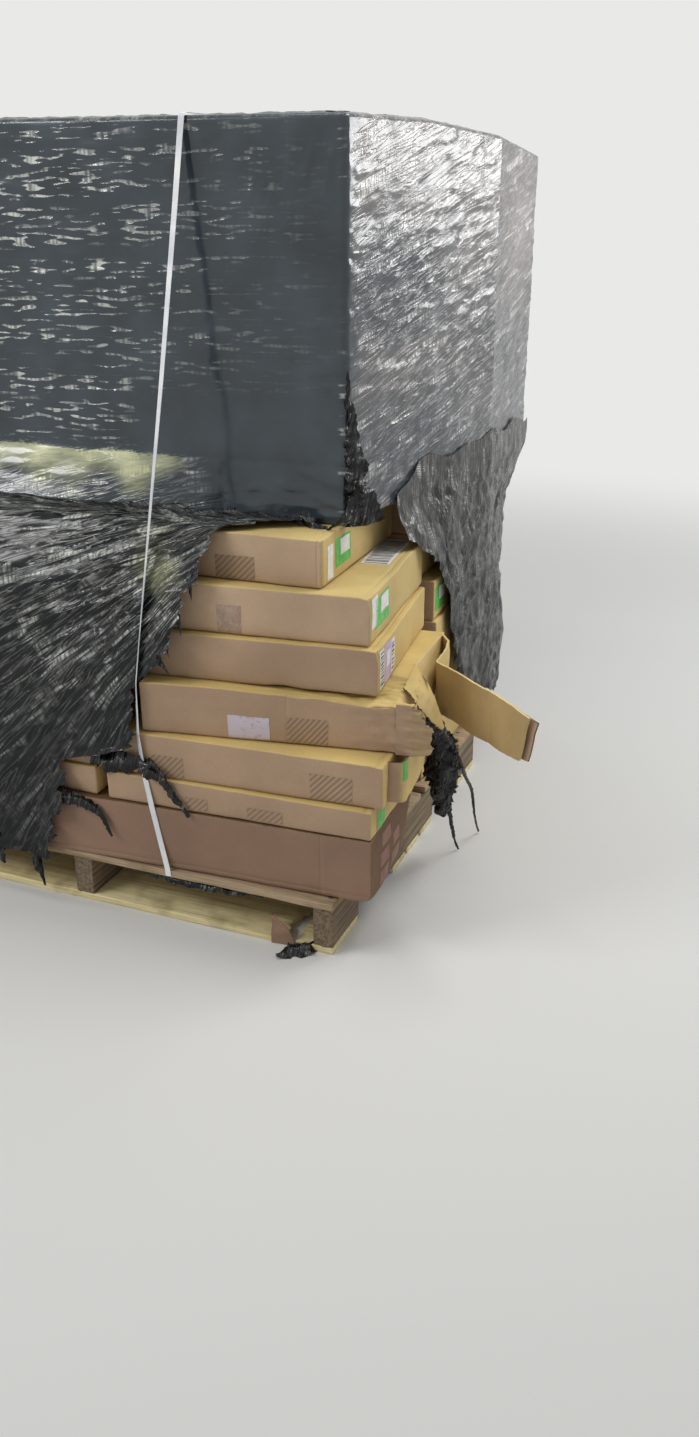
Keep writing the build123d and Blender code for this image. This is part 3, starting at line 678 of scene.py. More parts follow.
def crush(points, shaped):
    """Wear of the crushed carton: its top pulled in at the right, and the strip in front of the tear
    sunk and wrinkled, down over the front wall."""
    x, y, z = points.T
    shoulder = np.interp(y, [0, 110, 150, 223, 370, 440], [0, 0, 10, 31, 12, 0])
    shaped[:, 0] -= shoulder * np.clip((z - 50) / 63, 0, 1) ** 1.4 * np.clip((x + 70) / 70, 0, 1)
    on_top = np.clip((z - 98) / 14, 0, 1)
    reach = np.clip((x + 400) / 330, 0, 1)
    tear = 143 - (x + 67) * 0.33
    in_front = 1 / (1 + np.exp((y - tear) / 2.0))
    stretched = points * np.array([0.16, 1.0, 0.6])
    wrinkle = noise_at(stretched, 16.0, 401) + 0.6 * noise_at(stretched, 8.0, 402)
    shaped[:, 2] += on_top * in_front * reach * (-5.5 + 2.6 * wrinkle)
    shaped[:, 2] -= on_top * reach * 7.0 * np.exp(-y / 22)
    behind = 1 / (1 + np.exp(-(y - tear) / 2.0))
    shaped[:, 2] += on_top * behind * 2.4 * reach * np.exp(-(y - tear) / 40 * (y > tear))
    hollow = np.exp(-(((x + 10) / 17) ** 2 + ((y - 44) / 22) ** 2) ** 2)
    shaped[:, 2] -= on_top * 24 * hollow
    on_front = np.clip(1 - y / 6, 0, 1)
    flat = points * np.array([0.22, 1.0, 1.0])
    buckle = noise_at(flat, 30.0, 405) + 0.7 * noise_at(flat, 13.0, 406)
    near_end = np.clip((x + 170) / 150, 0, 1)
    shaped[:, 1] += on_front * near_end * (2.2 * buckle - 1.0)
    shaped[:, 1] -= on_front * 4.0 * near_end * np.exp(-((z - 20) / 26) ** 2)


def torn_wall(height):
    """Grids of the torn wall and of the ply that its tip is folded into, and how pale the wall is
    painted
    at each place along it: a little rub all over, and a painted highlight along its crease."""
    plan = smooth_path(WALL_PLAN, 5.0, 14.0)
    run = distance_along(plan)
    to_tip = run - run[-1]
    way = heading(plan)
    side = np.stack([-way[:, 1], way[:, 0]], axis=1)
    share = np.linspace(0, 1, 20)[:, None]
    back_off = WALL_SLANT * np.clip((to_tip + 140) / 140, 0, 1) * (1 - share)
    low = np.interp(run, [0, 60, 200, run[-1] - 100, run[-1]], [0, 0, -5, -6, 0])
    high = np.interp(run, [0, 60, 180, run[-1] - 60, run[-1]], [112, 113, 111, 109, 103])
    flat = in_plane(run, share * height)
    bulge = 2.2 * noise_at(flat, 120.0, 411) + 0.8 * noise_at(flat, 40.0, 412)
    bulge += 3.0 * np.exp(-np.abs(to_tip + WALL_CREASE) / 9)
    wall = np.empty((len(share), len(plan), 3))
    wall[..., :2] = plan - way * back_off[..., None] + side * bulge[..., None]
    wall[..., 2] = low + share * (high - low)
    tail = to_tip > -PLY_LENGTH
    ply = wall[:, tail].copy()
    out = np.linspace(0, 1, tail.sum())[:, None]
    ply[..., :2] += side[tail] * PLY_GAP * np.clip(2.2 * out, 0.35, 1) + way[tail] * 12 * out
    ply[..., 2] -= 9 * share
    # A little rub all over, and a painted highlight along the crease
    return wall, ply, 0.15 + 0.8 * np.exp(-((to_tip + WALL_CREASE) / 6) ** 2)


def ragged_layer(layer, rng):
    """Grid of one ragged layer at the end of the front wall: 0 is the outer one, 1 the inner one."""
    turn = math.radians(RAGGED_TURN)
    heights, reaches = RAGGED[layer]
    levels = np.linspace(heights[0], heights[-1], 44)
    reach = np.interp(levels, heights, reaches) + rng.normal(0, 1.1, len(levels))
    reach += 3.6 * noise_at(levels, 11.0, 435 + layer)
    start = -34.0 + 12 * layer
    along = start + np.linspace(0, 1, 14) * (reach - start)[:, None]
    flat = in_plane(along, levels[:, None])
    wave = 2.4 * noise_at(flat * np.array([0.25, 1, 1]), 13.0, 431 + layer)
    wave += 1.2 * noise_at(flat, 34.0, 433 + layer)
    past = np.clip(along, 0, None)
    back = past * math.sin(turn) * (0.75 + 0.3 * layer) + wave * np.clip((along + 30) / 30, 0.1, 1)
    return np.stack([np.minimum(along, 0) + past * math.cos(turn), 4.5 * layer - 3.2 + back,
                     flat[..., 1]], axis=-1)


def torn_tongue(rng):
    """Grid of the torn top's tongue, which arches over the corner and hangs down."""
    steps = np.linspace(0, 1, 30)
    left, right = (resampled(line, np.linspace(0, 1, len(line)), steps)[:, None] for line in (
        smooth_path(TONGUE_LEFT, 5.0, 12.0), smooth_path(TONGUE_RIGHT, 5.0, 12.0)))
    share = np.linspace(0, 1, 18)[:, None]
    tongue = left * (1 - share) + right * share
    arch = 7.0 * np.sin(math.pi * share[:, 0]) * np.sin(math.pi * np.clip(steps * 1.3, 0, 1))[:, None]
    tongue[..., 0] += arch
    tongue[..., 2] += 0.35 * arch
    tongue[..., 0] += 1.4 * noise_at(tongue * np.array([1, 0.5, 1]), 26.0, 441)
    tongue[:, 0, :] += rng.normal(0, 0.9, (len(steps), 3))
    return tongue


def build_crushed_carton():
    """The crushed carton: body, torn wall folded double at its tip, ragged front layers and tongue."""
    body = front_carton("carton_crushed", seed=41, bow=(1.0, 2.0, -2.0), warp=crush,
                        grooves=[(1, 0.0, 0, -263.0, 1.2, 0.7)])
    CARTONS["carton_crushed"] = body
    length, _, height = body.size
    fine = (np.arange(length - 170, length - 4, 5.0), np.arange(4, 240, 4.5),
            np.arange(5, height - 3, 5.5))
    points, faces, edge = body.mesh(15.0, fine)
    wall, ply, wear_and_crease_highlight = torn_wall(height)
    rng = np.random.default_rng(43)
    board, cut, torn, inner = range(4)
    # Each sheet with its thickness, the materials of its first face, its other face and its rim, and how
    # pale it is painted: rub, and on the wall a painted highlight along its crease
    sheets = [
        (wall, WALL_THICK, (inner, board, cut), wear_and_crease_highlight),
        (ply, 4.0, (board, board, torn), 0.15),
        (ragged_layer(0, rng), 2.6, (board, board, torn), 0.15),
        (ragged_layer(1, rng), 2.6, (torn, torn, torn), 0.15),
        (torn_tongue(rng), 3.4, (board, board, torn), 0.15),
    ]
    parts = [(points, faces)]
    kinds = [np.full(len(faces), board)]
    wear = [edge]
    for grid, thickness, finishes, wear_and_highlight in sheets:
        points, faces, _ = thickened(grid, thickness)
        parts.append((body.placed(points), faces))
        front = (grid.shape[0] - 1) * (grid.shape[1] - 1)
        kinds.append(np.repeat(finishes, [front, front, len(faces) - 2 * front]))
        wear.append(np.broadcast_to(wear_and_highlight, (2, *grid.shape[:2])).ravel())
    points, faces = joined(parts)
    add_piece("carton_crushed_board", points, faces, [KRAFT, KRAFT_CUT, TORN, KRAFT_INNER],
              ["carton_crushed"], np.concatenate(kinds), {"edge": np.concatenate(wear)},
              sharp_angle=48)


build_crushed_carton()


# The other cartons


def layer_cartons(node):
    """Each solid of a layer's node as a corner, a turn in degrees and a size in millimetres."""
    mesh = bpy.data.objects[node].data
    spots = np.zeros(len(mesh.vertices) * 3)
    mesh.vertices.foreach_get("co", spots)
    keys, index = np.unique(np.round(spots.reshape(-1, 3), 5), axis=0, return_inverse=True)
    index = index.ravel()
    group = np.arange(len(keys))
    changed = True
    while changed:
        changed = False
        for polygon in mesh.polygons:
            corners = index[list(polygon.vertices)]
            lowest = group[corners].min()
            if (group[corners] != lowest).any():
                group[corners] = lowest
                changed = True
    cartons = []
    for one in np.unique(group):
        points = keys[group == one]
        plan = points[:, :2]
        front_right = plan[np.argmax(plan[:, 0] - plan[:, 1])]
        front_left = plan[np.argmin(plan[:, 0] + plan[:, 1])]
        back_right = plan[np.argmax(plan[:, 0] + plan[:, 1])]
        along = front_right - front_left
        size = [np.linalg.norm(along), np.linalg.norm(back_right - front_right), np.ptp(points[:, 2])]
        turn = math.degrees(math.atan2(along[1], along[0]))
        corner = (front_right[0], front_right[1], points[:, 2].min())
        cartons.append((corner, turn, np.array(size) / MM))
    return cartons


# Each layer's carton behind the front ones, at the right
BEHIND_RIGHT = {}


def build_layer(node, step, seed):
    """A layer's cartons as one piece of board with a fold line near each right edge."""
    parts = []
    edges = []
    for number, (corner, turn, size) in enumerate(layer_cartons(node)):
        fold = [(2, size[2], 0, -14.0, 1.6, 1.3)]
        carton = Carton(corner, turn, size, seed + 3 * number, bow=(1.2, 1.0, -1.2), grooves=fold)
        if corner[0] > 0.4 and corner[1] > 0:
            BEHIND_RIGHT[node] = carton
        points, faces, edge = carton.mesh(step)
        parts.append((points, faces))
        edges.append(edge)
    points, faces = joined(parts)
    add_piece(node + "_board", points, faces, [KRAFT], [node],
              marks={"edge": np.concatenate(edges)})


for level in range(1, 8):
    build_layer(f"lower_layer_{level}", 45.0, 100 + 17 * level)
for level in range(1, 5):
    build_layer(f"upper_layer_{level}", 90.0, 300 + 17 * level)


# Stretch film


def stamp_creases(field, across, up, count, seed, area, angle, length, width, height):
    """Add folds to a field of outward millimetres: each one a sharp ridge that fades at both ends.

    across and up are the millimetre places of the field's points; area is left, right, low and high;
    angle, length, width and height are ranges.
    """
    rng = np.random.default_rng(seed)
    for _ in range(count):
        centre = (rng.uniform(area[0], area[1]), rng.uniform(area[2], area[3]))
        turn = math.radians(rng.uniform(*angle))
        half = 0.5 * rng.uniform(*length)
        thick = rng.uniform(*width)
        rise = rng.uniform(*height)
        curve = rng.normal(0, 0.12) / half
        reach_u = half * abs(math.cos(turn)) + 4 * thick
        reach_v = half * abs(math.sin(turn)) + 4 * thick
        near = ((np.abs(across - centre[0]) < reach_u) & (np.abs(up - centre[1]) < reach_v)).nonzero()
        if not len(near[0]):
            continue
        du = across[near] - centre[0]
        dv = up[near] - centre[1]
        along = du * math.cos(turn) + dv * math.sin(turn)
        off = dv * math.cos(turn) - du * math.sin(turn) - curve * along ** 2
        fade = np.clip(1 - (along / half) ** 2, 0, 1) ** 1.5
        field[near] += rise * fade * np.exp(-np.abs(off) / thick)


wrap_low, wrap_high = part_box("film_upper")
UPPER_FRONT = wrap_low[1]
UPPER_BACK = wrap_high[1]
UPPER_LEFT = wrap_low[0]
UPPER_RIGHT_BACK = wrap_high[0]
UPPER_RIGHT_FRONT = RIGHT_EDGE - 92 * MM + 2.5 * MM
UPPER_ROW = 340 * MM
UPPER_TOP = wrap_high[2]
UPPER_FOOT = 850.0
# Heights at which its foot starts to flare, and below which its front carries a painted glare
FLARE_TOP = 972.0
GLARE_TOP = 967.0
# How far the top lies below its highest row, at places from the front to the back
TOP_PROFILE = ([UPPER_FRONT, UPPER_FRONT + UPPER_ROW, UPPER_FRONT + 2 * UPPER_ROW + 2 * MM,
                UPPER_FRONT + 3 * UPPER_ROW + 4 * MM], [0.0, 0.0, -20.0, -55.0])
CARTON_SEAMS = (964.0, 1171.0, 1438.0)
# How pale the right side's film is at each height, partly thin film and partly a painted sheen, and
# where it is paler or darker than that: distance past the corner, height, reach along and up, and amount
SIDE_PALE = ([860, 1000, 1150, 1300, 1425, 1450, 1620], [0.1, 0.16, 0.24, 0.29, 0.34, 0.44, 0.48])
SIDE_TONES = [(900, 1390, 130, 120, 0.5), (190, 1310, 190, 110, -0.4), (560, 1360, 130, 70, 0.2),
              (230, 945, 220, 90, -0.2), (650, 1010, 130, 80, 0.14), (250, 1150, 200, 40, 0.15),
              (800, 1120, 90, 60, -0.15)]


# The wrap's plan: each corner, its roundness, and how close the columns stand on the way to the next one
WRAP_CORNERS = np.array([
    (UPPER_LEFT, UPPER_BACK, 6.0, 12.0),
    (UPPER_LEFT, UPPER_FRONT, 6.0, 6.0),
    (UPPER_RIGHT_FRONT, UPPER_FRONT, 13.0, 6.0),
    (UPPER_RIGHT_BACK, UPPER_BACK - UPPER_ROW, 22.0, 6.0),
    (UPPER_RIGHT_BACK, UPPER_BACK, 8.0, 12.0),
])


def wrap_outline():
    """Plan of the wrap: places, outward ways, and how many millimetres round it each place is."""
    plan, radii, steps = WRAP_CORNERS[:, :2], WRAP_CORNERS[:, 2] * MM, WRAP_CORNERS[:, 3]
    edges = np.roll(plan, -1, axis=0) - plan
    lengths = np.linalg.norm(edges, axis=1)
    ways = edges / lengths[:, None]
    befores = np.roll(ways, 1, axis=0)
    bends = np.arccos(np.clip((ways * befores).sum(axis=1), -1, 1))
    cuts = radii * np.tan(bends / 2)
    runs = lengths - cuts - np.roll(cuts, -1)
    spots, outward = [], []
    for number, (way, before, bend, radius) in enumerate(zip(ways, befores, bends, radii)):
        start = plan[number] + way * cuts[number]
        aside = np.array([way[1], -way[0]])
        turns = max(3, int(bend * radius / MM / 3.0))
        angles = math.atan2(before[1], before[0]) + bend * (np.arange(turns) + 0.5) / turns
        rounding = np.stack([np.sin(angles), -np.cos(angles)], axis=1)
        stops = max(2, int(runs[number] / MM / steps[number]))
        straight = np.linspace(0, runs[number], stops)[:, None] * way
        spots += [start + (rounding - aside) * radius, start + straight]
        outward += [rounding, np.broadcast_to(aside, straight.shape)]
    spots, outward = (np.concatenate([*parts, parts[0][:1]]) for parts in (spots, outward))
    return spots, outward, distance_along(spots) / MM


# The wrap's rows up its walls, round its top edge and in over its top, and its top edge's roundness
WALL_ROWS, EDGE_ROWS, LIP_ROWS = 118, 5, 16
WRAP_EDGE = 9.0


def wrap_folds(across, up, start, near):
    """How far out the wrap's walls lie, in millimetres. The front's left corner is start millimetres
    round the wrap, and its right corner near."""
    tall = (UPPER_FOOT, 1610)
    right = (near, near + 1050, *tall)
    # Number, seed, area, and ranges of angle, length, width and height. Tight turns drag level lines
    # across the upper left of the front; the right side is slack and drags up towards the back.
    folds = [
        (130, 41, (start, start + 620, 1120, 1600), (-3, 5), (60, 300), (4, 7), (0.5, 2.0)),
        (26, 42, (near - 420, near, 1180, 1600), (4, 24), (60, 200), (3, 5), (0.5, 1.8)),
        (20, 43, (near - 190, near - 20, 1430, 1600), (60, 86), (60, 180), (3, 6), (0.8, 2.6)),
        (60, 47, (start, near - 380, 850, 975), (-8, 16), (60, 260), (4, 9), (1.0, 4.0)),
        (24, 57, (near - 300, near, 850, 960), (-14, 14), (50, 200), (4, 8), (1.0, 3.4)),
        (300, 44, right, (4, 24), (60, 280), (3, 5.5), (0.8, 3.2)),
        (60, 45, right, (-10, 8), (80, 260), (3, 7), (0.8, 3.0)),
        (26, 46, (near + 20, near + 330, 1090, 1190), (-5, 5), (120, 330), (3, 6), (2.0, 4.5)),
        (70, 56, (near + 330, near + 700, 1080, 1260), (-30, 30), (60, 240), (3, 6), (1.5, 4.5)),
        (60, 58, (near + 10, near + 700, 850, 1060), (2, 26), (60, 240), (3, 7), (1.5, 4.5)),
        (60, 48, (near - 14, near + 40, *tall), (-12, 12), (15, 45), (3, 5), (0.8, 2.8)),
        (200, 49, (near + 1000, across[0, -1], *tall), (-6, 12), (80, 300), (5, 9), (0.8, 3.0)),
        (60, 50, (0, start, *tall), (-6, 12), (80, 300), (5, 9), (0.8, 3.0)),
    ]
    field = np.zeros(up.shape)
    for fold in folds:
        stamp_creases(field, across, up, *fold)
    cloud = in_plane(across, up)
    loose = np.where((across > near + 6) & (across < near + 1060), 1.0, 0.35)
    field += 1.2 * (noise_at(cloud, 230.0, 61) + 1) + 0.8 * loose * (noise_at(cloud, 70.0, 62) + 1)
    field = 6.5 * np.tanh(field / 6.5)
    for seam in CARTON_SEAMS:
        field -= 0.8 * np.exp(-((up - seam) / 7.0) ** 2)
    return np.maximum(field, -1.6)


def wrap_marks(across, up, start, near, left_share, flare):
    """The marks of the wrap's walls, and then of the rows round and over its top edge."""
    cloud = in_plane(across, up)
    on_front = (across > start) & (across < near)
    past = np.clip((across - near - 8) / 40, 0, 1) * np.clip((near + 1080 - across) / 40, 0, 1)
    unseen = 0.5 * ((across > near + 1080) | (across < start))
    slack = np.maximum(0.75 * past, 0.8 * flare * on_front * np.clip(left_share * 3 - 0.5, 0, 1))
    # Level dashes, most of them at the left, and broken glints down the corner: relief and painted
    # glints
    dash = on_front * np.clip((up - 1080) / 120, 0, 1) * np.clip(left_share * 2.2, 0, 1) + unseen
    dash *= 0.4 + 0.42 * np.clip((left_share - 0.25) * 2.5, 0, 1)
    low_left = np.clip((left_share - 0.42) * 20, 0, 1) * on_front * np.clip((up - 978) / 15, 0, 1)
    glints = np.clip(0.6 + 0.8 * noise_at(cloud, 150.0, 67), 0, 1)
    glints *= np.exp(-((across - near + 6) / 6.0) ** 2)
    dash = np.maximum(np.maximum(dash, 0.75 * low_left), glints)
    # Where the side is painted paler or darker: partly thin film, partly a painted sheen
    pale = np.interp(up, *SIDE_PALE)
    for along, height, reach, rise, amount in SIDE_TONES:
        pale += amount * np.exp(-((across - near - along) / reach) ** 2 - ((up - height) / rise) ** 2)
    # A painted glare band under a sharp straight line along the foot of the front
    below = GLARE_TOP + 2.5 * noise_at(cloud, 110.0, 65) - up
    painted_glare = np.clip(below / 5, 0, 1) * np.interp(below, [0, 30, 70, 130], [1.0, 0.95, 0.66, 0.4])
    painted_glare *= np.clip((left_share - 0.27) * 9, 0, 1) * on_front
    painted_glare *= 1.75 + 0.3 * noise_at(cloud, 120.0, 66)
    # Streak: painted glints on the right side's creases, and past one the painted glare along the foot
    streak = past * np.clip(0.5 + 0.9 * pale, 0.42, 1.0) + painted_glare
    walls = {"slack": slack, "dash": dash, "thin": past * np.clip(pale, 0.05, 1.0), "streak": streak}
    above = {"slack": np.maximum(0.75 * past[:1], 0.5), "dash": unseen[:1], "thin": 0.3 * past[:1],
             "streak": np.full((1, up.shape[1]), 0.35)}
    count = EDGE_ROWS + LIP_ROWS
    return {label: np.concatenate([walls[label], np.repeat(above[label], count, axis=0)])
            for label in walls}


def build_wrap():
    """The upper wrap: one sheet round the upper tier, its foot flared in front, its top turned in."""
    spots, outward, round_way = wrap_outline()
    start, near = (round_way[np.argmin(np.abs(spots - corner).sum(axis=1))]
                   for corner in ((UPPER_LEFT, UPPER_FRONT), (UPPER_RIGHT_FRONT, UPPER_FRONT)))
    drop = np.interp(spots[:, 1], *TOP_PROFILE)
    head = UPPER_TOP / MM + drop - WRAP_EDGE
    rng = np.random.default_rng(5)
    foot = UPPER_FOOT + 5 * noise_at(round_way, 160.0, 3) + rng.normal(0, 1.0, len(spots))
    up = foot + np.linspace(0, 1, WALL_ROWS)[:, None] * (head - foot)
    across = np.broadcast_to(round_way, up.shape)
    on_front = (round_way > start) & (round_way < near)
    left_share = np.clip((near - round_way) / (near - start), 0, 1) * on_front
    flare = np.clip((FLARE_TOP - up) / (FLARE_TOP - UPPER_FOOT), 0, 1) ** 1.25
    field = wrap_folds(across, up, start, near)
    field += flare * (5 + 44 * np.clip(left_share * 2.2 - 0.55, 0, 1) ** 0.8) * on_front
    rows = [np.column_stack([spots + outward * (out * MM)[:, None], level * MM])
            for out, level in zip(field, up)]
    for angle in 0.5 * math.pi * np.arange(1, EDGE_ROWS + 1) / EDGE_ROWS:
        out = field[-1] * math.cos(angle) - WRAP_EDGE * (1 - math.cos(angle))
        level = head + WRAP_EDGE * math.sin(angle)
        rows.append(np.column_stack([spots + outward * (out * MM)[:, None], level * MM]))
    lip = np.linspace(0, 1, LIP_ROWS + 1)[1:]
    ragged = 118.0 + 14 * noise_at(round_way, 120.0, 8)
    for share in lip:
        inward = WRAP_EDGE + share * ragged
        places = spots - outward * (inward * MM)[:, None]
        turned_in = in_plane(round_way, inward)
        crumple = 1.1 * (noise_at(turned_in, 60.0, 71) + 1) + 0.6 * (noise_at(turned_in, 24.0, 72) + 1)
        # The strap presses it flat
        beside_strap = (places[:, 0] - RIGHT_EDGE) / MM - STRAP_LINE
        crumple *= 1 - np.exp(-(beside_strap / 30.0) ** 2)
        level = np.minimum(np.interp(places[:, 1], *TOP_PROFILE), drop) + 0.3 + crumple
        rows.append(np.column_stack([places, UPPER_TOP + level * MM]))
    pattern_up = np.concatenate([up, np.repeat(up[-1:] + 10, EDGE_ROWS, axis=0),
                                 up[-1:] + 20 + 120 * lip[:, None]])
    marks = wrap_marks(across, up, start, near, left_share, flare)
    return add_film("upper_wrap", np.stack(rows), WRAP_FILM, ["film_upper"], flip=True,
                    across=round_way, up=pattern_up, **marks)


upper_wrap = build_wrap()

# Torn right edge of the skirt: overhang and height
SKIRT_TEAR = [(-311, 860), (-344, 744), (-381, 634), (-430, 558), (-463, 546), (-463, 404), (-523, 380),
              (-640, 348), (-629, 269), (-660, 200), (-685, 100)]
FAN_CENTRE = (-150.0, 860.0)
FAN_RADIUS = 620.0
# Side view of the film over the left cartons: setback and height
SKIRT_PROFILE = [(-17.7, 100), (-17.7, 267), (28.3, 544), (83, 747), (140.6, 848), (296, 848)]


def skirt_line(count):
    """Places down the skirt's side view, with its bends rounded, their outward ways, and how far down
    the sheet each lies."""
    profile = np.array(SKIRT_PROFILE, dtype=float)
    length = distance_along(profile)
    fine = np.linspace(0, length[-1], 600)
    line = resampled(profile, length, fine)
    padded = np.concatenate([np.repeat(line[:1], 11, 0), line, np.repeat(line[-1:], 11, 0)])
    smooth = np.stack([np.convolve(column, np.ones(23) / 23, "valid") for column in padded.T], axis=1)
    smooth[0], smooth[-1] = line[0], line[-1]
    pick = np.linspace(0, len(fine) - 1, count)
    places = resampled(smooth, np.arange(len(fine)), pick)
    way = heading(places)
    return places, np.stack([-way[:, 1], way[:, 0]], axis=1), np.interp(pick, np.arange(len(fine)), fine)


def build_skirt():
    """The torn skirt of film over the left cartons, crumpled and hanging in loose folds."""
    rows, columns = 176, 216
    places, outward, down = skirt_line(rows)
    level = places[:, 1][:, None]
    tear = np.array(SKIRT_TEAR[::-1], dtype=float)
    ledge = np.clip((places[:, 0] - 141) / 155, 0, 1)
    line = np.interp(places[:, 1], tear[:, 1], tear[:, 0]) * (1 - ledge) - 120.0 * ledge
    rng = np.random.default_rng(9)
    line += rng.normal(0, 3.0, rows) + 8 * noise_at(down, 44.0, 12) + 6 * noise_at(down, 19.0, 13)
    left = (UPPER_LEFT - RIGHT_EDGE) / MM
    across = left + np.linspace(0, 1, columns) * (line - left)[:, None]
    up = np.repeat(down[:, None], columns, axis=1)
    # Its folds fan out to the lower left from the torn upper corner: distance from there, and the way
    # round it measured at FAN_RADIUS
    away = -np.hypot(FAN_CENTRE[0] - across, FAN_CENTRE[1] - up)
    fan = -FAN_RADIUS * np.arctan2(FAN_CENTRE[1] - up, FAN_CENTRE[0] - across)
    fan_area = (-1250, -60, fan.min(), fan.max())
    # Number, seed, area, and ranges of angle, length, width and height
    folds = [
        (away, fan, 210, 81, fan_area, (-5, 5), (140, 460), (4, 7), (2, 9)),
        (away, fan, 260, 82, fan_area, (-16, 16), (40, 150), (2.5, 4.5), (1, 5)),
        (across, up, 50, 83, (left, -300, 0, down[-1]), (-70, -10), (40, 150), (3, 6), (1, 4)),
        (across, up, 90, 84, (-640, -300, 560, down[-1]), (12, 34), (90, 300), (3, 6), (3, 10)),
    ]
    field = np.zeros(up.shape)
    for fold in folds:
        stamp_creases(field, *fold)
    cloud = in_plane(across, up)
    leaning = in_plane(across * 0.9 + up * 0.45, (up * 0.9 - across * 0.45) * 3.0)
    field += 4 * (noise_at(cloud, 190.0, 85) + 0.9) + 3.0 * noise_at(leaning, 120.0, 86)
    edge = np.exp(-(line[:, None] - across) / 26.0)
    field += edge * (6 + 7 * noise_at(cloud, 50.0, 87))
    limit = np.interp(level, [100, 270, 600, 848], [11, 13, 20, 22])
    field = np.clip(limit * np.tanh(field / limit), 0.5, None)
    # The strap presses the folds flat where it runs down them
    strap_line = np.interp(level, [267, 544, 848], [-422, -450, -443])
    pressed = np.exp(-((across - strap_line) / 30.0) ** 2) * (level < 800)
    out = 3.0 + field * (1 - pressed) + 0.6 * pressed
    # It rounds the load's left corner, and its hem hangs uneven
    tuck = 1 - np.sqrt(1 - (1 - np.clip((across - left) / 14.0, 0, 1)) ** 2)
    hem = np.clip((130 - level) / 30, 0, 1) * (6 * noise_at(cloud, 90.0, 88) + 5)
    points = on_pallet(across, places[:, :1] + outward[:, :1] * out + 14 * tuck,
                       level + outward[:, 1:] * out + hem)
    # Painted glints on the creases, strongest along the top and at the left
    high = np.interp(level, [100, 380, 560, 700, 848], [0.16, 0.25, 0.5, 0.85, 1.0])
    streak = high * (0.95 + 0.35 * noise_at(cloud, 210.0, 89)) * (1 - 0.85 * ledge[:, None])
    # A painted yellow-green glare patch, where the streak passes one
    yellow = np.exp(-((across + 400) / 95) ** 2 - ((level - 765) / 55) ** 2) * (1 - ledge[:, None])
    # The crease pattern follows the fan: its long way is away from the corner
    cosine, sine = math.cos(math.radians(FILM_RISE)), math.sin(math.radians(FILM_RISE))
    return add_film("torn_skirt", points, BLACK_FILM, ["film_skirt"], slack=1.0,
                    streak=np.clip(streak, 0, 1) + 0.5 * yellow,
                    across=away * cosine - fan * sine, up=away * sine + fan * cosine)


torn_skirt = build_skirt()


def flat_film(name, node, seed, start, end, foot, head, out):
    """A plain sheet of wrap down one hidden side of the lower tier, with level folds."""
    start, end = np.array(start), np.array(end)
    length = np.linalg.norm(end - start) / MM
    columns, rows = int(length / 9), int((head - foot) / 9)
    share = np.linspace(0, 1, columns)
    across, up = np.meshgrid(share * length, np.linspace(foot, head, rows))
    field = np.zeros(up.shape)
    area = (0, length, foot, head)
    stamp_creases(field, across, up, 200, seed, area, (-12, 16), (80, 320), (5, 10), (1, 4))
    stamp_creases(field, across, up, 60, seed + 1, area, (-60, 60), (60, 200), (5, 9), (1, 4))
    cloud = in_plane(across, up)
    field = 8 * np.tanh((field + 1.5 * (noise_at(cloud, 190.0, seed + 2) + 1)) / 8)
    # Pulled tight round the corners, where the sheets meet
    field *= np.clip(np.minimum(across, length - across) / 18, 0, 1)
    spots = start + share[:, None] * (end - start)
    points = np.empty((rows, columns, 3))
    points[..., :2] = spots + np.array(out) * field[..., None] * MM
    points[..., 2] = up * MM
    points[0, :, 2] += 4 * noise_at(cloud[0], 60.0, seed + 3) * MM
    # Faint painted glints on its folds
    return add_film(name, points, WRAP_FILM, [node], slack=0.2, streak=0.1, dash=0.5, across=across,
                    up=up)


side_low, side_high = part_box("film_left_side")
back_low, back_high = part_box("film_back")
HIDDEN_FOOT, HIDDEN_HEAD = 129.0, 858.0
left_film = flat_film("left_side_film", "film_left_side", 501, (side_low[0], back_high[1]),
                      (side_low[0], FRONT_EDGE - 4 * MM), HIDDEN_FOOT, HIDDEN_HEAD, (-1, 0))
back_film = flat_film("back_film", "film_back", 521, (back_high[0], back_high[1]),
                      (side_low[0], back_high[1]), HIDDEN_FOOT, HIDDEN_HEAD, (0, 1))

# Loose film over the right side of the back rows: setback of each line down it, and the film's overhang
# at each height
CURTAIN_HEIGHTS = [124, 300, 500, 700, 846, 940]
CURTAIN_LINES = {485: [20, 20, 14, 0, -56, -61], 985: [5, 8, 14, 10, 15, 15],
                 1324: [-30, -12, -42, -38, 15, 15]}
CURTAIN_FRONT, CURTAIN_BACK, CURTAIN_FOOT = 486.0, 1324.0, 124.0
CURTAIN_HEAD = 925.0
# Its torn lower edge: setback and height
CURTAIN_TEAR = [(486, 780), (630, 685), (690, 591), (700, 505), (745, 404), (845, 300), (1090, 201),
                (1213, 150), (1324, 124)]


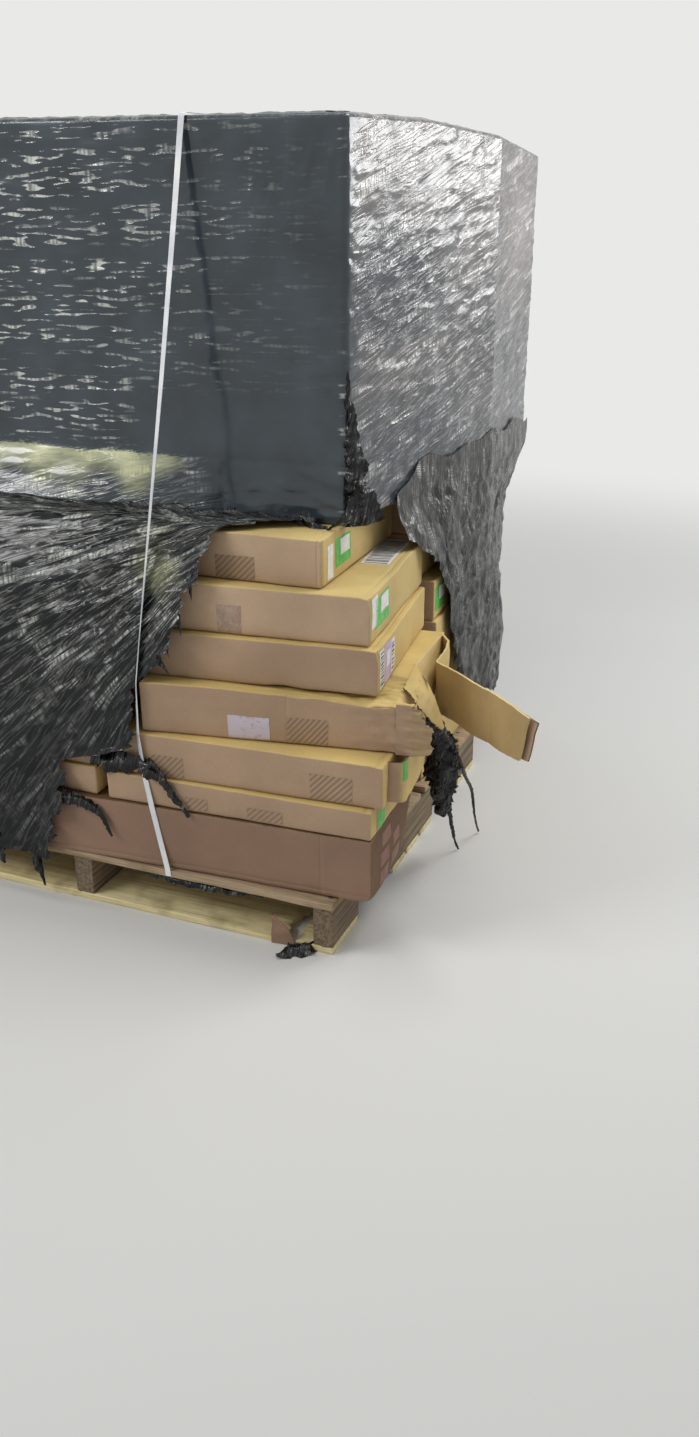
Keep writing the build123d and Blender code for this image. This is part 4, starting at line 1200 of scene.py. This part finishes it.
def build_curtain():
    """The torn curtain of film down the right side, crumpled, with a lifted ragged edge."""
    rows, columns = 128, 150
    setbacks = np.linspace(CURTAIN_FRONT, CURTAIN_BACK, columns)
    rng = np.random.default_rng(15)
    tear = np.interp(setbacks, *np.array(CURTAIN_TEAR, dtype=float).T) + rng.normal(0, 3.0, columns)
    head = np.minimum(CURTAIN_HEAD, 866 + 0.5 * (setbacks - CURTAIN_FRONT))
    head = head + 12 * noise_at(setbacks, 130.0, 98)
    up = tear + np.linspace(0, 1, rows)[:, None] * (head - tear)
    across = np.repeat(setbacks[None, :], rows, axis=0)
    # How far out the curtain hangs, between the lines on each side of each place
    lines = np.array([np.interp(up, CURTAIN_HEIGHTS, line) for line in CURTAIN_LINES.values()])
    stops = np.array(list(CURTAIN_LINES), dtype=float)
    before = np.clip(np.searchsorted(stops, setbacks, "right") - 1, 0, 1)
    part = (setbacks - stops[before]) / (stops[before + 1] - stops[before])
    pick = np.arange(columns)
    base = lines[before, :, pick].T * (1 - part) + lines[before + 1, :, pick].T * part
    field = np.zeros(up.shape)
    area = (CURTAIN_FRONT, CURTAIN_BACK, CURTAIN_FOOT, 850)
    stamp_creases(field, across, up, 130, 91, area, (20, 75), (80, 300), (4, 9), (2, 9))
    stamp_creases(field, across, up, 90, 92, area, (-60, 20), (50, 200), (3, 7), (2, 8))
    stamp_creases(field, across, up, 60, 93, (900, CURTAIN_BACK, 400, 850), (-10, 30), (80, 260), (4, 9),
                  (2, 8))
    cloud = in_plane(across, up)
    field += 4 * (noise_at(cloud, 150.0, 94) + 0.6) + 2.5 * noise_at(cloud, 55.0, 95)
    field += np.exp(-(up - tear) / 30.0) * (4 + 9 * noise_at(cloud, 60.0, 96))
    field = 15 * np.tanh(field / 15)
    # It lies flatter where it passes over the upper wrap
    over_wrap = np.clip((up - 830) / 30, 0, 1)
    field = field * (1 - 0.55 * over_wrap) + 5.5 * over_wrap * (1 - np.clip((up - 880) / 60, 0, 1) * 0.4)
    points = on_pallet(base + 2.5 + np.maximum(field, -1.5), across + 3 * noise_at(cloud, 70.0, 97), up)
    # A faint painted sheen and painted glints on its creases, stronger higher up
    return add_film("torn_curtain", points, BLACK_FILM, ["film_curtain"], slack=1.0,
                    thin=0.05 + 0.07 * np.clip((up - 500) / 350, 0, 1),
                    streak=0.12 + 0.3 * np.clip((up - 500) / 300, 0, 1), across=1.5 * up,
                    up=across + 0.8 * up)


torn_curtain = build_curtain()


# Pallet


def plank(name, step, seed, end_shift=None, low_at=None, material=None):
    """A sawn board or stringer in its node's box, with rough faces, worn edges and split ends.

    end_shift gives how far the right end is cut back at each y; low_at gives the underside's height at
    each y, for a notched stringer.
    """
    low, high = (np.array(corner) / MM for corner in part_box(name))
    size = high - low
    rng = np.random.default_rng(seed)
    lines = []
    for axis in range(3):
        count = max(3, int(size[axis] / (step if size[axis] > 200 else 7.0)) + 1)
        close = [0.0, 0.8, 2.5, size[axis] - 2.5, size[axis] - 0.8, size[axis]]
        lines.append(np.unique(np.round([*np.linspace(0, size[axis], count), *close], 2)))
    if low_at:
        bends = np.array([place - low[1] for place in low_at[0]])
        lines[1] = np.unique(np.round(np.concatenate([lines[1], bends]), 2))
    points, faces = box_surface(*lines)
    shaped = rounded(points, 0.0, size, 2.0)
    along = 0 if size[0] > size[1] else 1
    grain = np.full(3, 1.0)
    grain[along] = 0.06
    for axis in range(3):
        shaped[:, axis] += 0.5 * noise_at(points * grain, 9.0, seed + axis)
    shaped[:, 2] += 0.8 * noise_at(points, 260.0, seed + 5)
    ends = np.minimum(points[:, along], size[along] - points[:, along])
    split = np.exp(-ends / 30.0)
    cross_axis = 1 - along
    for _ in range(3):
        place = rng.uniform(0.15, 0.85) * size[cross_axis]
        near = np.exp(-((points[:, cross_axis] - place) / 3.0) ** 2)
        shaped[:, 2] -= 1.6 * split * near
    if end_shift is not None:
        cut = end_shift(points[:, 1] / size[1])
        right = points[:, 0] / size[0]
        reach = np.clip((right - 0.55) / 0.45, 0, 1)
        shaped[:, 0] -= cut * reach
        fray = np.exp(-(size[0] - points[:, 0]) / 12.0)
        shaped[:, 0] += fray * 5.0 * noise_at(points * np.array([0.0, 1.0, 1.3]), 9.0, seed + 9)
    if low_at:
        foot = np.interp(points[:, 1] + low[1], *low_at)
        shaped[:, 2] = foot + shaped[:, 2] * (size[2] - foot) / size[2]
    points = (low + shaped) * MM
    points[:, 2] = np.maximum(points[:, 2], 0)
    return add_piece(name + "_timber", points, faces, [material or PALE_WOOD], [name],
                     sharp_angle=60)


# Fork notches in the stringers' underside, from the pallet's middle: start and end, and how high
NOTCH_NEAR, NOTCH_FAR, NOTCH_HIGH, NOTCH_ROUND = 148.0, 363.0, 38.0, 12.0


def notch_line():
    """Underside of a stringer: places along it and how far it is cut up there."""
    places, heights = [-510.0], [0.0]
    for sign in (-1, 1):
        ends = sorted((sign * NOTCH_FAR, sign * NOTCH_NEAR))
        arc = np.linspace(0, math.pi / 2, 6)
        places += [ends[0] - 0.2, ends[0], *(ends[0] + NOTCH_ROUND * (1 - np.cos(arc))),
                   *(ends[1] - NOTCH_ROUND * (1 - np.cos(arc[::-1]))), ends[1], ends[1] + 0.2]
        rise = NOTCH_HIGH - NOTCH_ROUND * (1 - np.sin(arc))
        heights += [0.0, 4.0, *rise, *rise[::-1], 4.0, 0.0]
    return places + [510.0], heights + [0.0]


def broken_board(y):
    """How far the broken board's end is cut back, in millimetres, across its width from 0 to 1."""
    return np.interp(y, [0, 0.12, 0.25, 0.38, 0.5, 0.75, 1], [28, 20, 14, 24, 28, 16, 0])


# Where the nails stand across a deck board, as shares of its width from its middle
NAIL_ROWS = (-0.29, 0.02, 0.31)


def build_nails():
    """Nail heads, three at each place where a deck board crosses a stringer."""
    parts = []
    rng = np.random.default_rng(77)
    # A head's rings: radius and height in millimetres
    rings = np.array([(0.4, -0.8), (4.4, -0.6), (4.6, 0.3), (3.6, 0.8), (0.4, 0.7)])
    angles = np.linspace(0, 2 * math.pi, 13)
    head = np.stack([rings[:, :1] * np.cos(angles), rings[:, :1] * np.sin(angles),
                     rings[:, 1:] + 0 * angles], axis=-1)
    for number in range(1, 8):
        low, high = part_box(f"top_board_{number}")
        for stringer in ("stringer_left", "stringer_middle", "stringer_right"):
            side_low, side_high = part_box(stringer)
            for row in NAIL_ROWS:
                centre = np.array([(side_low[0] + side_high[0]) / 2 + rng.uniform(-9, 9) * MM,
                                   (low[1] + high[1]) / 2 + row * (high[1] - low[1]), high[2]])
                parts.append(((centre + head * MM).reshape(-1, 3), grid_faces(*head.shape[:2])))
    points, faces = joined(parts)
    keys, index = np.unique(np.round(points, 7), axis=0, return_inverse=True)
    add_piece("pallet_nails", keys, index.ravel()[faces], [NAIL])


def build_pallet():
    """The stringers and the boards."""
    for number, name in enumerate(("stringer_left", "stringer_middle", "stringer_right")):
        plank(name, 14.0, 610 + 20 * number, low_at=notch_line(), material=STRINGER_WOOD)
    for number in range(1, 8):
        plank(f"top_board_{number}", 16.0, 700 + 20 * number, material=DECK_WOOD)
    for number in range(2, 6):
        plank(f"bottom_board_{number}", 16.0, 900 + 20 * number)
    plank("bottom_board_1", 12.0, 901, end_shift=broken_board)
    plank("bottom_board_stub", 8.0, 905)


def build_torn_card():
    """The torn triangle of card that stands on edge at the broken board."""
    low, high = (np.array(corner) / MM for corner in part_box("torn_card"))
    up, across = np.meshgrid(np.linspace(0, 1, 16), np.linspace(0, 1, 14), indexing="ij")
    right = np.interp(up, [0, 0.6, 1], [1.0, 0.7, 0.1])
    wave = 2.5 * noise_at(in_plane(across * 58, up * 70), 40.0, 931)
    grid = np.stack([low[0] + across * right * (high[0] - low[0]), (low[1] + high[1]) / 2 + wave,
                     up * (high[2] - 1) + 0.5], axis=-1)
    points, faces, kind = thickened(grid, 2.2)
    add_piece("torn_card_board", points * MM, faces, [KRAFT_PLAIN, TORN], ["torn_card"],
              kind, {"edge": np.full(len(points), 0.3)}, sharp_angle=48)


build_pallet()
build_torn_card()
build_nails()


# Side panel, prints, tapes and stickers


def build_side_panel():
    """The third carton's side panel: it stands out from the folded strip at the corner, free behind."""
    carton = CARTONS["carton_third"]
    plan = smooth_path([(-3, 37), (3, 37), (25, 42), (29, 56), (27, 120), (20, 210), (6, 300)], 5.0, 9.0)
    share = np.linspace(0, 1, 18)[:, None]
    back = plan[:, 1]
    foot = np.interp(back, [37, 60, 150, 300], [6, 3, 2, 2])
    head = np.interp(back, [37, 60, 300], [94, 96, 96])
    flat = in_plane(back, share * 96)
    grid = np.stack([plan[:, 0] + 1.2 * noise_at(flat, 42.0, 451), flat[..., 0],
                     foot + share * (head - foot)], axis=-1)
    points, faces, kind = thickened(grid, 4.0)
    add_piece("carton_third_side_panel", carton.placed(points), faces, [KRAFT, TORN],
              ["carton_third"], kind, {"edge": np.full(len(points), 0.2)}, sharp_angle=48)
    # Green sticker on the panel's top corner
    label = grid[9:, (back > 40) & (back < 64)] + np.array([2.8, 0, 0])
    add_piece("carton_third_sticker", carton.placed(label.reshape(-1, 3)), grid_faces(*label.shape[:2]),
              [GREEN_PAPER])


# Prints, tapes and stickers on a carton's face: lower left corner, upper right corner and kind. One that
# lies over another says so, and so does one with bars.
PRINTS = {
    ("carton_thin", "front"): [(-417, 8, -365, 35, "hatch"), (-274, 8, -193, 34, "hatch")],
    ("carton_thin", "right"): [(43, 8, 85, 48, "green")],
    ("carton_third", "front"): [(-519, 2, -442, 55, "hatch"), (-157, 3, -67, 63, "hatch")],
    ("carton_crushed", "front"): [(-388, 1, -299, 57, "tape"), (-263, 2, -175, 61, "hatch")],
    ("carton_sixth", "front"): [(-327, 4, -273, 64, "flat tape")],
    ("carton_sixth", "right"): [(13, 33, 54, 99, "white"), (40, 25, 144, 90, "green"),
                                (80, 50, 138, 85, "white over")],
    ("carton_sixth", "top"): [(-90, 246, -25, 448, "white bars")],
    ("carton_seventh", "front"): [(-235, 2, -147, 54, "hatch")],
    ("carton_seventh", "right"): [(30, 10, 63, 81, "white"), (76, 25, 165, 85, "green"),
                                  (104, 46, 158, 80, "white over")],
    ("carton_fifth", "right"): [(14, 10, 48, 92, "white bars"), (52, 10, 104, 92, "lilac"),
                                (66, 40, 98, 74, "white over"), (106, 14, 135, 88, "white bars")],
    ("carton_base", "right"): [(61, 12, 116, 44, "red"), (58, 56, 112, 88, "red"),
                               (70, 100, 128, 130, "red"), (138, 20, 196, 52, "red"),
                               (142, 66, 190, 96, "red")],
    ("behind_fifth", "right"): [(11, 20, 94, 80, "green"), (40, 44, 88, 75, "white over")],
}


def bar_places(low, high):
    """Lower left and upper right corners of plain bars across a sticker."""
    across = 0 if high[0] - low[0] > high[1] - low[1] else 1
    rng = np.random.default_rng(int(abs(low[0]) + high[1]))
    place = low[across] + 6
    while place < high[across] - 8:
        wide = rng.uniform(1.5, 5.0)
        one, two = [low[0] + 6, low[1] + 6], [high[0] - 6, high[1] - 6]
        one[across], two[across] = place, place + wide
        yield one, two
        place += wide + rng.uniform(3.0, 8.0)


def build_prints():
    """Every print, tape and sticker as thin patches that follow their carton's face."""
    CARTONS["behind_fifth"] = BEHIND_RIGHT["lower_layer_5"]
    kinds = {"hatch": HATCHED, "tape": TAPE, "flat": FLAT_TAPE, "white": WHITE_PAPER,
             "green": GREEN_PAPER, "lilac": LILAC_PAPER, "bars": BAR_INK, "red": RED_INK}
    order = list(kinds)
    patches = {}
    for (name, face), prints in PRINTS.items():
        group = patches.setdefault(name, [])
        for *places, kind in prints:
            words = kind.split()
            lift = 0.9 if words[-1] == "over" else 0.5
            group.append((*CARTONS[name].patch(face, places[:2], places[2:], lift, 6.0), words[0]))
            if words[-1] == "bars":
                for low, high in bar_places(places[:2], places[2:]):
                    group.append((*CARTONS[name].patch(face, low, high, lift + 0.35, 9.0), "bars"))
    for name, group in patches.items():
        points, faces = joined([(points, faces) for points, faces, _ in group])
        kind = np.concatenate([np.full(len(faces), order.index(word)) for _, faces, word in group])
        add_piece(name + "_prints", points, faces, list(kinds.values()), (), kind)


build_side_panel()
build_prints()


# Loose tails and strands of torn film: overhang, setback and height along each, and its width at its
# start, middle and end
TAILS = {
    "skirt_flag": ([(-560, 2, 356), (-500, 0, 360), (-452, 2, 366), (-418, 6, 366)], (44, 46, 26)),
    "front_tail": ([(-438, 4, 366), (-415, 0, 350), (-386, 1, 327), (-357, 0, 297), (-330, 2, 262)],
                   (40, 20, 8)),
    "hooked_tail": ([(-420, 3, 372), (-398, 0, 366), (-384, 0, 352), (-380, 1, 338)], (14, 7, 4)),
    "side_tail": ([(-640, -16, 262), (-590, -15, 262), (-555, -14, 250), (-535, -14, 222),
                   (-517, -14, 186)], (34, 22, 5)),
    "low_tail": ([(-700, -20, 150), (-724, -20, 110), (-716, -19, 65), (-707, -17, 22)], (40, 26, 6)),
    "low_tail_left": ([(-820, -20, 130), (-826, -19, 90), (-812, -18, 58)], (60, 30, 5)),
    "deck_strip": ([(-480, 20, 97), (-400, 8, 96), (-320, 4, 93), (-240, 10, 95), (-170, 22, 94)],
                   (16, 20, 8)),
    "whisker_high": ([(-352, 82, 772), (-343, 78, 746), (-340, 76, 720)], (20, 9, 1.5)),
    "whisker_middle": ([(-376, 62, 694), (-362, 58, 674), (-357, 56, 648)], (22, 10, 1.5)),
    "whisker_thin": ([(-396, 52, 646), (-386, 47, 624), (-383, 45, 602)], (14, 6, 1.0)),
    "whisker_low": ([(-416, 42, 604), (-396, 36, 588), (-376, 33, 568)], (24, 11, 1.5)),
    "under_tongue": ([(66, 300, 436), (92, 330, 424), (104, 350, 398), (98, 372, 372)], (34, 50, 22)),
    "hanging_web": ([(84, 322, 430), (93, 374, 362), (94, 424, 274), (88, 458, 186), (82, 486, 112)],
                    (46, 98, 30)),
    "long_strand": ([(96, 330, 428), (104, 387, 354), (104, 440, 284), (100, 466, 218), (100, 464, 167),
                     (100, 500, 84), (104, 520, 30), (110, 530, 3)], (34, 18, 5)),
    "second_strand": ([(110, 316, 430), (128, 382, 349), (132, 468, 249), (132, 552, 159),
                       (131, 590, 66), (130, 636, 3)], (24, 9, 5)),
    "floor_wisp": ([(-46, 14, 12), (-62, -8, 10), (-84, -32, 6), (-108, -52, 4)], (34, 52, 16)),
    "twisted_strand": ([(-62, 262, 905), (-71, 245, 873), (-93, 245, 860), (-115, 245, 841),
                        (-138, 246, 833), (-149, 247, 840), (-152, 248, 850)], (16, 8, 4)),
    "corner_gather": ([(-90, 298, 1168), (-84, 296, 1104), (-77, 296, 1046), (-68, 297, 966),
                       (-58, 298, 907), (-48, 299, 852)], (5, 34, 80)),
    "corner_gather_fold": ([(-88, 300, 1060), (-76, 294, 980), (-66, 290, 916), (-60, 286, 858)],
                           (4, 24, 50)),
    "hem_tail": ([(-180, 262, 866), (-150, 252, 858), (-128, 250, 852), (-112, 252, 850)], (30, 18, 6)),
}


def tail_sheet(route, widths, seed):
    """A crumpled ribbon of film along a route, as a grid of points."""
    path = smooth_path(route, 5.0, 24.0)
    count = len(path)
    share = np.linspace(0, 1, count)
    wide = np.interp(share, [0, 0.5, 1], widths)
    way = heading(path)
    facing = np.array([0.35, -1.0, 0.15]) if path[:, 2].max() > 20 else np.array([0.1, -0.2, 1.0])
    side = np.cross(way, facing)
    side /= np.maximum(np.linalg.norm(side, axis=1, keepdims=True), 1e-6)
    face = np.cross(side, way)
    line = in_plane(share * distance_along(path)[-1], 0.0)
    turn = 0.7 * noise_at(line, 60.0, seed) + 0.4 * noise_at(line, 22.0, seed + 1)
    across = np.linspace(-0.5, 0.5, 9)
    rng = np.random.default_rng(seed)
    grid = np.empty((count, len(across), 3))
    for column, place in enumerate(across):
        ragged = rng.normal(0, 0.06, count) if column in (0, len(across) - 1) else 0
        out = wide * place + np.minimum(wide, 34.0) * ragged
        fold = 0.10 * wide * noise_at(line + np.array([0, 37.0 * place, 0]), 16.0, seed + 2)
        fold += 0.16 * wide * math.cos(2 * math.pi * place)
        sideways = out * np.cos(turn) - fold * np.sin(turn)
        forward = out * np.sin(turn) + fold * np.cos(turn)
        grid[:, column] = path + side * sideways[:, None] + face * forward[:, None]
    return grid


def build_tails():
    """Every loose tail and strand, one piece each, by name."""
    tails = {}
    for number, (name, (route, widths)) in enumerate(TAILS.items()):
        overhang, setback, height = np.moveaxis(tail_sheet(route, widths, 1000 + 11 * number), -1, 0)
        # Faint painted glints on its creases
        tails[name] = add_film("film_" + name, on_pallet(overhang, setback, np.maximum(height, 1.0)),
                               BLACK_FILM, (), slack=1.0, streak=0.2, across=height - overhang,
                               up=overhang + setback)
    return tails


tails = build_tails()


def declare_films():
    """A table of each film with the size it was cut or torn to, and the loose tails that belong to it;
    it only looks these up and sets nothing.
    """
    upper_boards = [f"upper_layer_{level}_board" for level in range(1, 5)]
    lower_boards = [f"lower_layer_{level}_board" for level in range(1, 8)]
    of_wrap = ["twisted_strand", "corner_gather", "corner_gather_fold", "hem_tail"]
    of_curtain = ["under_tongue", "hanging_web", "long_strand", "second_strand"]
    of_skirt = [name for name in tails if name not in of_wrap + of_curtain]
    films = [
        (upper_wrap, (4.45, 0.9), 3.95, "stretched", upper_boards, of_wrap),
        (torn_skirt, (0.95, 1.1), 0.75, "hung", lower_boards, of_skirt),
        (left_film, (1.35, 0.75), 1.0, "stretched", lower_boards, []),
        (back_film, (1.22, 0.73), 0.87, "stretched", lower_boards, []),
        (torn_curtain, (0.9, 0.85), 0.5, "hung", ["upper_wrap"], of_curtain),
    ]
    for piece, flat, area, held, rests_on, loose in films:
        [tails[name] for name in loose]
        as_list(rests_on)


declare_films()


# Strap

STRAP_WIDTH, STRAP_THICK = 13.0, 0.9
# Overhang, setback, height and twist in degrees
STRAP_ROUTE = [
    (STRAP_LINE, 300, 1625.5, 0), (STRAP_LINE, 289, 1622.5, 0), (-430, 250, 1455, -8),
    (-437, 171, 1130, -24), (-448, 44, 640, -54), (-450, 20.4, 544, -54), (-449, 12.4, 431, -36),
    (-444, 10.4, 388, -22), (-436, 8.1, 333, -6), (-422, 4.3, 267, 0), (-389, -1.1, 121, 0),
    (-389, -1.1, 103.9, 0), (-410, 1017.1, 103.9, 0), (-410, 1335, 119.9, 0), (-410, 1335, 1571, 0),
    (-410, 980, 1571, 0), (-410, 978, 1606.5, 0), (-410, 638, 1606.5, 0), (-410, 636, 1625.5, 0),
]


def build_strap():
    """The flat strap, a closed loop that twists a little where it hangs free in front."""
    route = np.array([[*on_pallet(*stop[:3]), stop[3]] for stop in STRAP_ROUTE])
    stops = []
    for here, ahead in zip(route, np.roll(route, -1, axis=0)):
        length = np.linalg.norm(ahead[:3] - here[:3])
        pull = min(0.3, 4 * MM / length)
        shares = np.linspace(pull, 1 - pull, max(2, int(length / (14 * MM))))
        stops += [here + (ahead - here) * share for share in shares]
    stops = np.array(stops)
    way = np.roll(stops[:, :3], -1, axis=0) - np.roll(stops[:, :3], 1, axis=0)
    way /= np.linalg.norm(way, axis=1, keepdims=True)
    points = []
    for spot, ahead in zip(stops, way):
        wide = np.array([1.0, 0, 0]) - ahead * ahead[0]
        wide /= np.linalg.norm(wide)
        thick = np.cross(wide, ahead)
        turn = math.radians(spot[3])
        side = (wide * math.cos(turn) + thick * math.sin(turn)) * STRAP_WIDTH / 2 * MM
        face = (thick * math.cos(turn) - wide * math.sin(turn)) * STRAP_THICK / 2 * MM
        points += [spot[:3] - side - face, spot[:3] + side - face, spot[:3] + side + face,
                   spot[:3] - side + face]
    corner = np.arange(len(points)).reshape(-1, 4)
    beside = np.roll(corner, -1, axis=1)
    faces = np.stack([corner, beside, np.roll(beside, -1, axis=0), np.roll(corner, -1, axis=0)], axis=-1)
    piece = add_piece("strapping", points, faces.reshape(-1, 4), [STRAP], ["strap"])
    piece.data.polygons.foreach_set("use_smooth", [False] * len(piece.data.polygons))


build_strap()


# Floor, lights and camera

BACKDROP = "#e9e9e7"
# Half the floor's width in metres
FLOOR = 30.0
# Place, aim, width and height in metres, and power in watts
LAMPS = {
    "key_lamp": ((1.9, 1.0, 3.4), (0.2, 0.0, 0.8), 1.6, 1.0, 55.0),
    "front_lamp": ((-2.3, -2.5, 2.8), (0.0, -0.3, 0.9), 2.0, 0.8, 62.0),
    "window_lamp": ((2.6, 2.7, 1.9), (0.6, 0.2, 1.3), 1.1, 1.0, 26.0),
    "ceiling_lamp": ((0.3, -0.5, 3.7), (0.3, 0.1, 1.0), 1.8, 0.4, 14.0),
}
# The photograph's focal length and height in its own pixels, and the camera's sensor in millimetres
FOCAL_PIXELS, PHOTO_HEIGHT, SENSOR = 1250.0, 1437.0, 36.0
# Its place in metres, its tilt up from straight down and its turn to the left, in degrees
CAMERA_PLACE, CAMERA_TILT, CAMERA_TURN = (1.478, -2.5641, 1.5), 66.81, 22.0


def seen_straight(node):
    """One where the camera sees a thing itself, or in or through another thing."""
    ray = node("LightPath")
    seen = node("Math", ray["Is Camera Ray"], ray["Is Glossy Ray"], operation="MAXIMUM")
    return node("Math", seen[0], ray["Is Transmission Ray"], operation="MAXIMUM")[0]


def build_floor():
    """A pale floor that fades into the backdrop far from the load, so that no horizon shows."""
    mesh = bpy.data.meshes.new("floor")
    corners = [(-FLOOR, -FLOOR, 0), (FLOOR, -FLOOR, 0), (FLOOR, FLOOR, 0), (-FLOOR, FLOOR, 0)]
    mesh.from_pydata(corners, [], [(0, 1, 2, 3)])
    floor = bpy.data.objects.new("floor", mesh)
    bpy.context.scene.collection.objects.link(floor)
    material, node, shader, place = new_material("pale_floor", roughness=0.9, specular=0.1)
    mesh.materials.append(material)
    set_inputs(shader, {"Base Color": linear("#d9d9d7")})
    away = node("VectorMath", place, operation="LENGTH")
    far = node("MapRange", away[1], 1.9, 4.6, interpolation_type="SMOOTHSTEP")
    faded = node("Math", far[0], seen_straight(node), operation="MULTIPLY")
    backdrop = node("Emission", linear(BACKDROP), 1.0)
    mixed = node("MixShader", faded[0], shader.outputs[0], backdrop[0])
    set_inputs(material.node_tree.nodes["Material Output"], {"Surface": mixed[0]})


def build_world():
    """Even pale light from all round, and the backdrop's own tone where it is seen."""
    world = bpy.data.worlds.new("studio")
    bpy.context.scene.world = world
    world.use_nodes = True
    world.node_tree.nodes.clear()
    node = partial(add_node, world.node_tree)
    ambient = node("Background", linear("#f4f4f2"), 0.42)
    backdrop = node("Background", linear(BACKDROP), 1.0)
    mixed = node("MixShader", seen_straight(node), ambient[0], backdrop[0])
    node("OutputWorld", mixed[0])


def build_lamps():
    """Four soft lamps that the camera doesn't see."""
    for name, (place, aim, width, height, power) in LAMPS.items():
        light = bpy.data.lights.new(name, "AREA")
        light.shape = "RECTANGLE"
        light.size = width
        light.size_y = height
        light.energy = power
        lamp = bpy.data.objects.new(name, light)
        lamp.location = place
        towards = Vector(aim) - Vector(place)
        lamp.rotation_euler = towards.to_track_quat("-Z", "Y").to_euler()
        lamp.visible_camera = False
        bpy.context.scene.collection.objects.link(lamp)


def build_camera():
    """The camera at the photograph's view."""
    data = bpy.data.cameras.new("camera")
    data.sensor_fit = "VERTICAL"
    data.sensor_height = SENSOR
    data.lens = FOCAL_PIXELS * SENSOR / PHOTO_HEIGHT
    camera = bpy.data.objects.new("camera", data)
    camera.location = CAMERA_PLACE
    camera.rotation_euler = (math.radians(CAMERA_TILT), 0.0, math.radians(CAMERA_TURN))
    bpy.context.scene.collection.objects.link(camera)
    bpy.context.scene.camera = camera
    bpy.context.scene.view_settings.view_transform = "Standard"


build_floor()
build_world()
build_lamps()
build_camera()
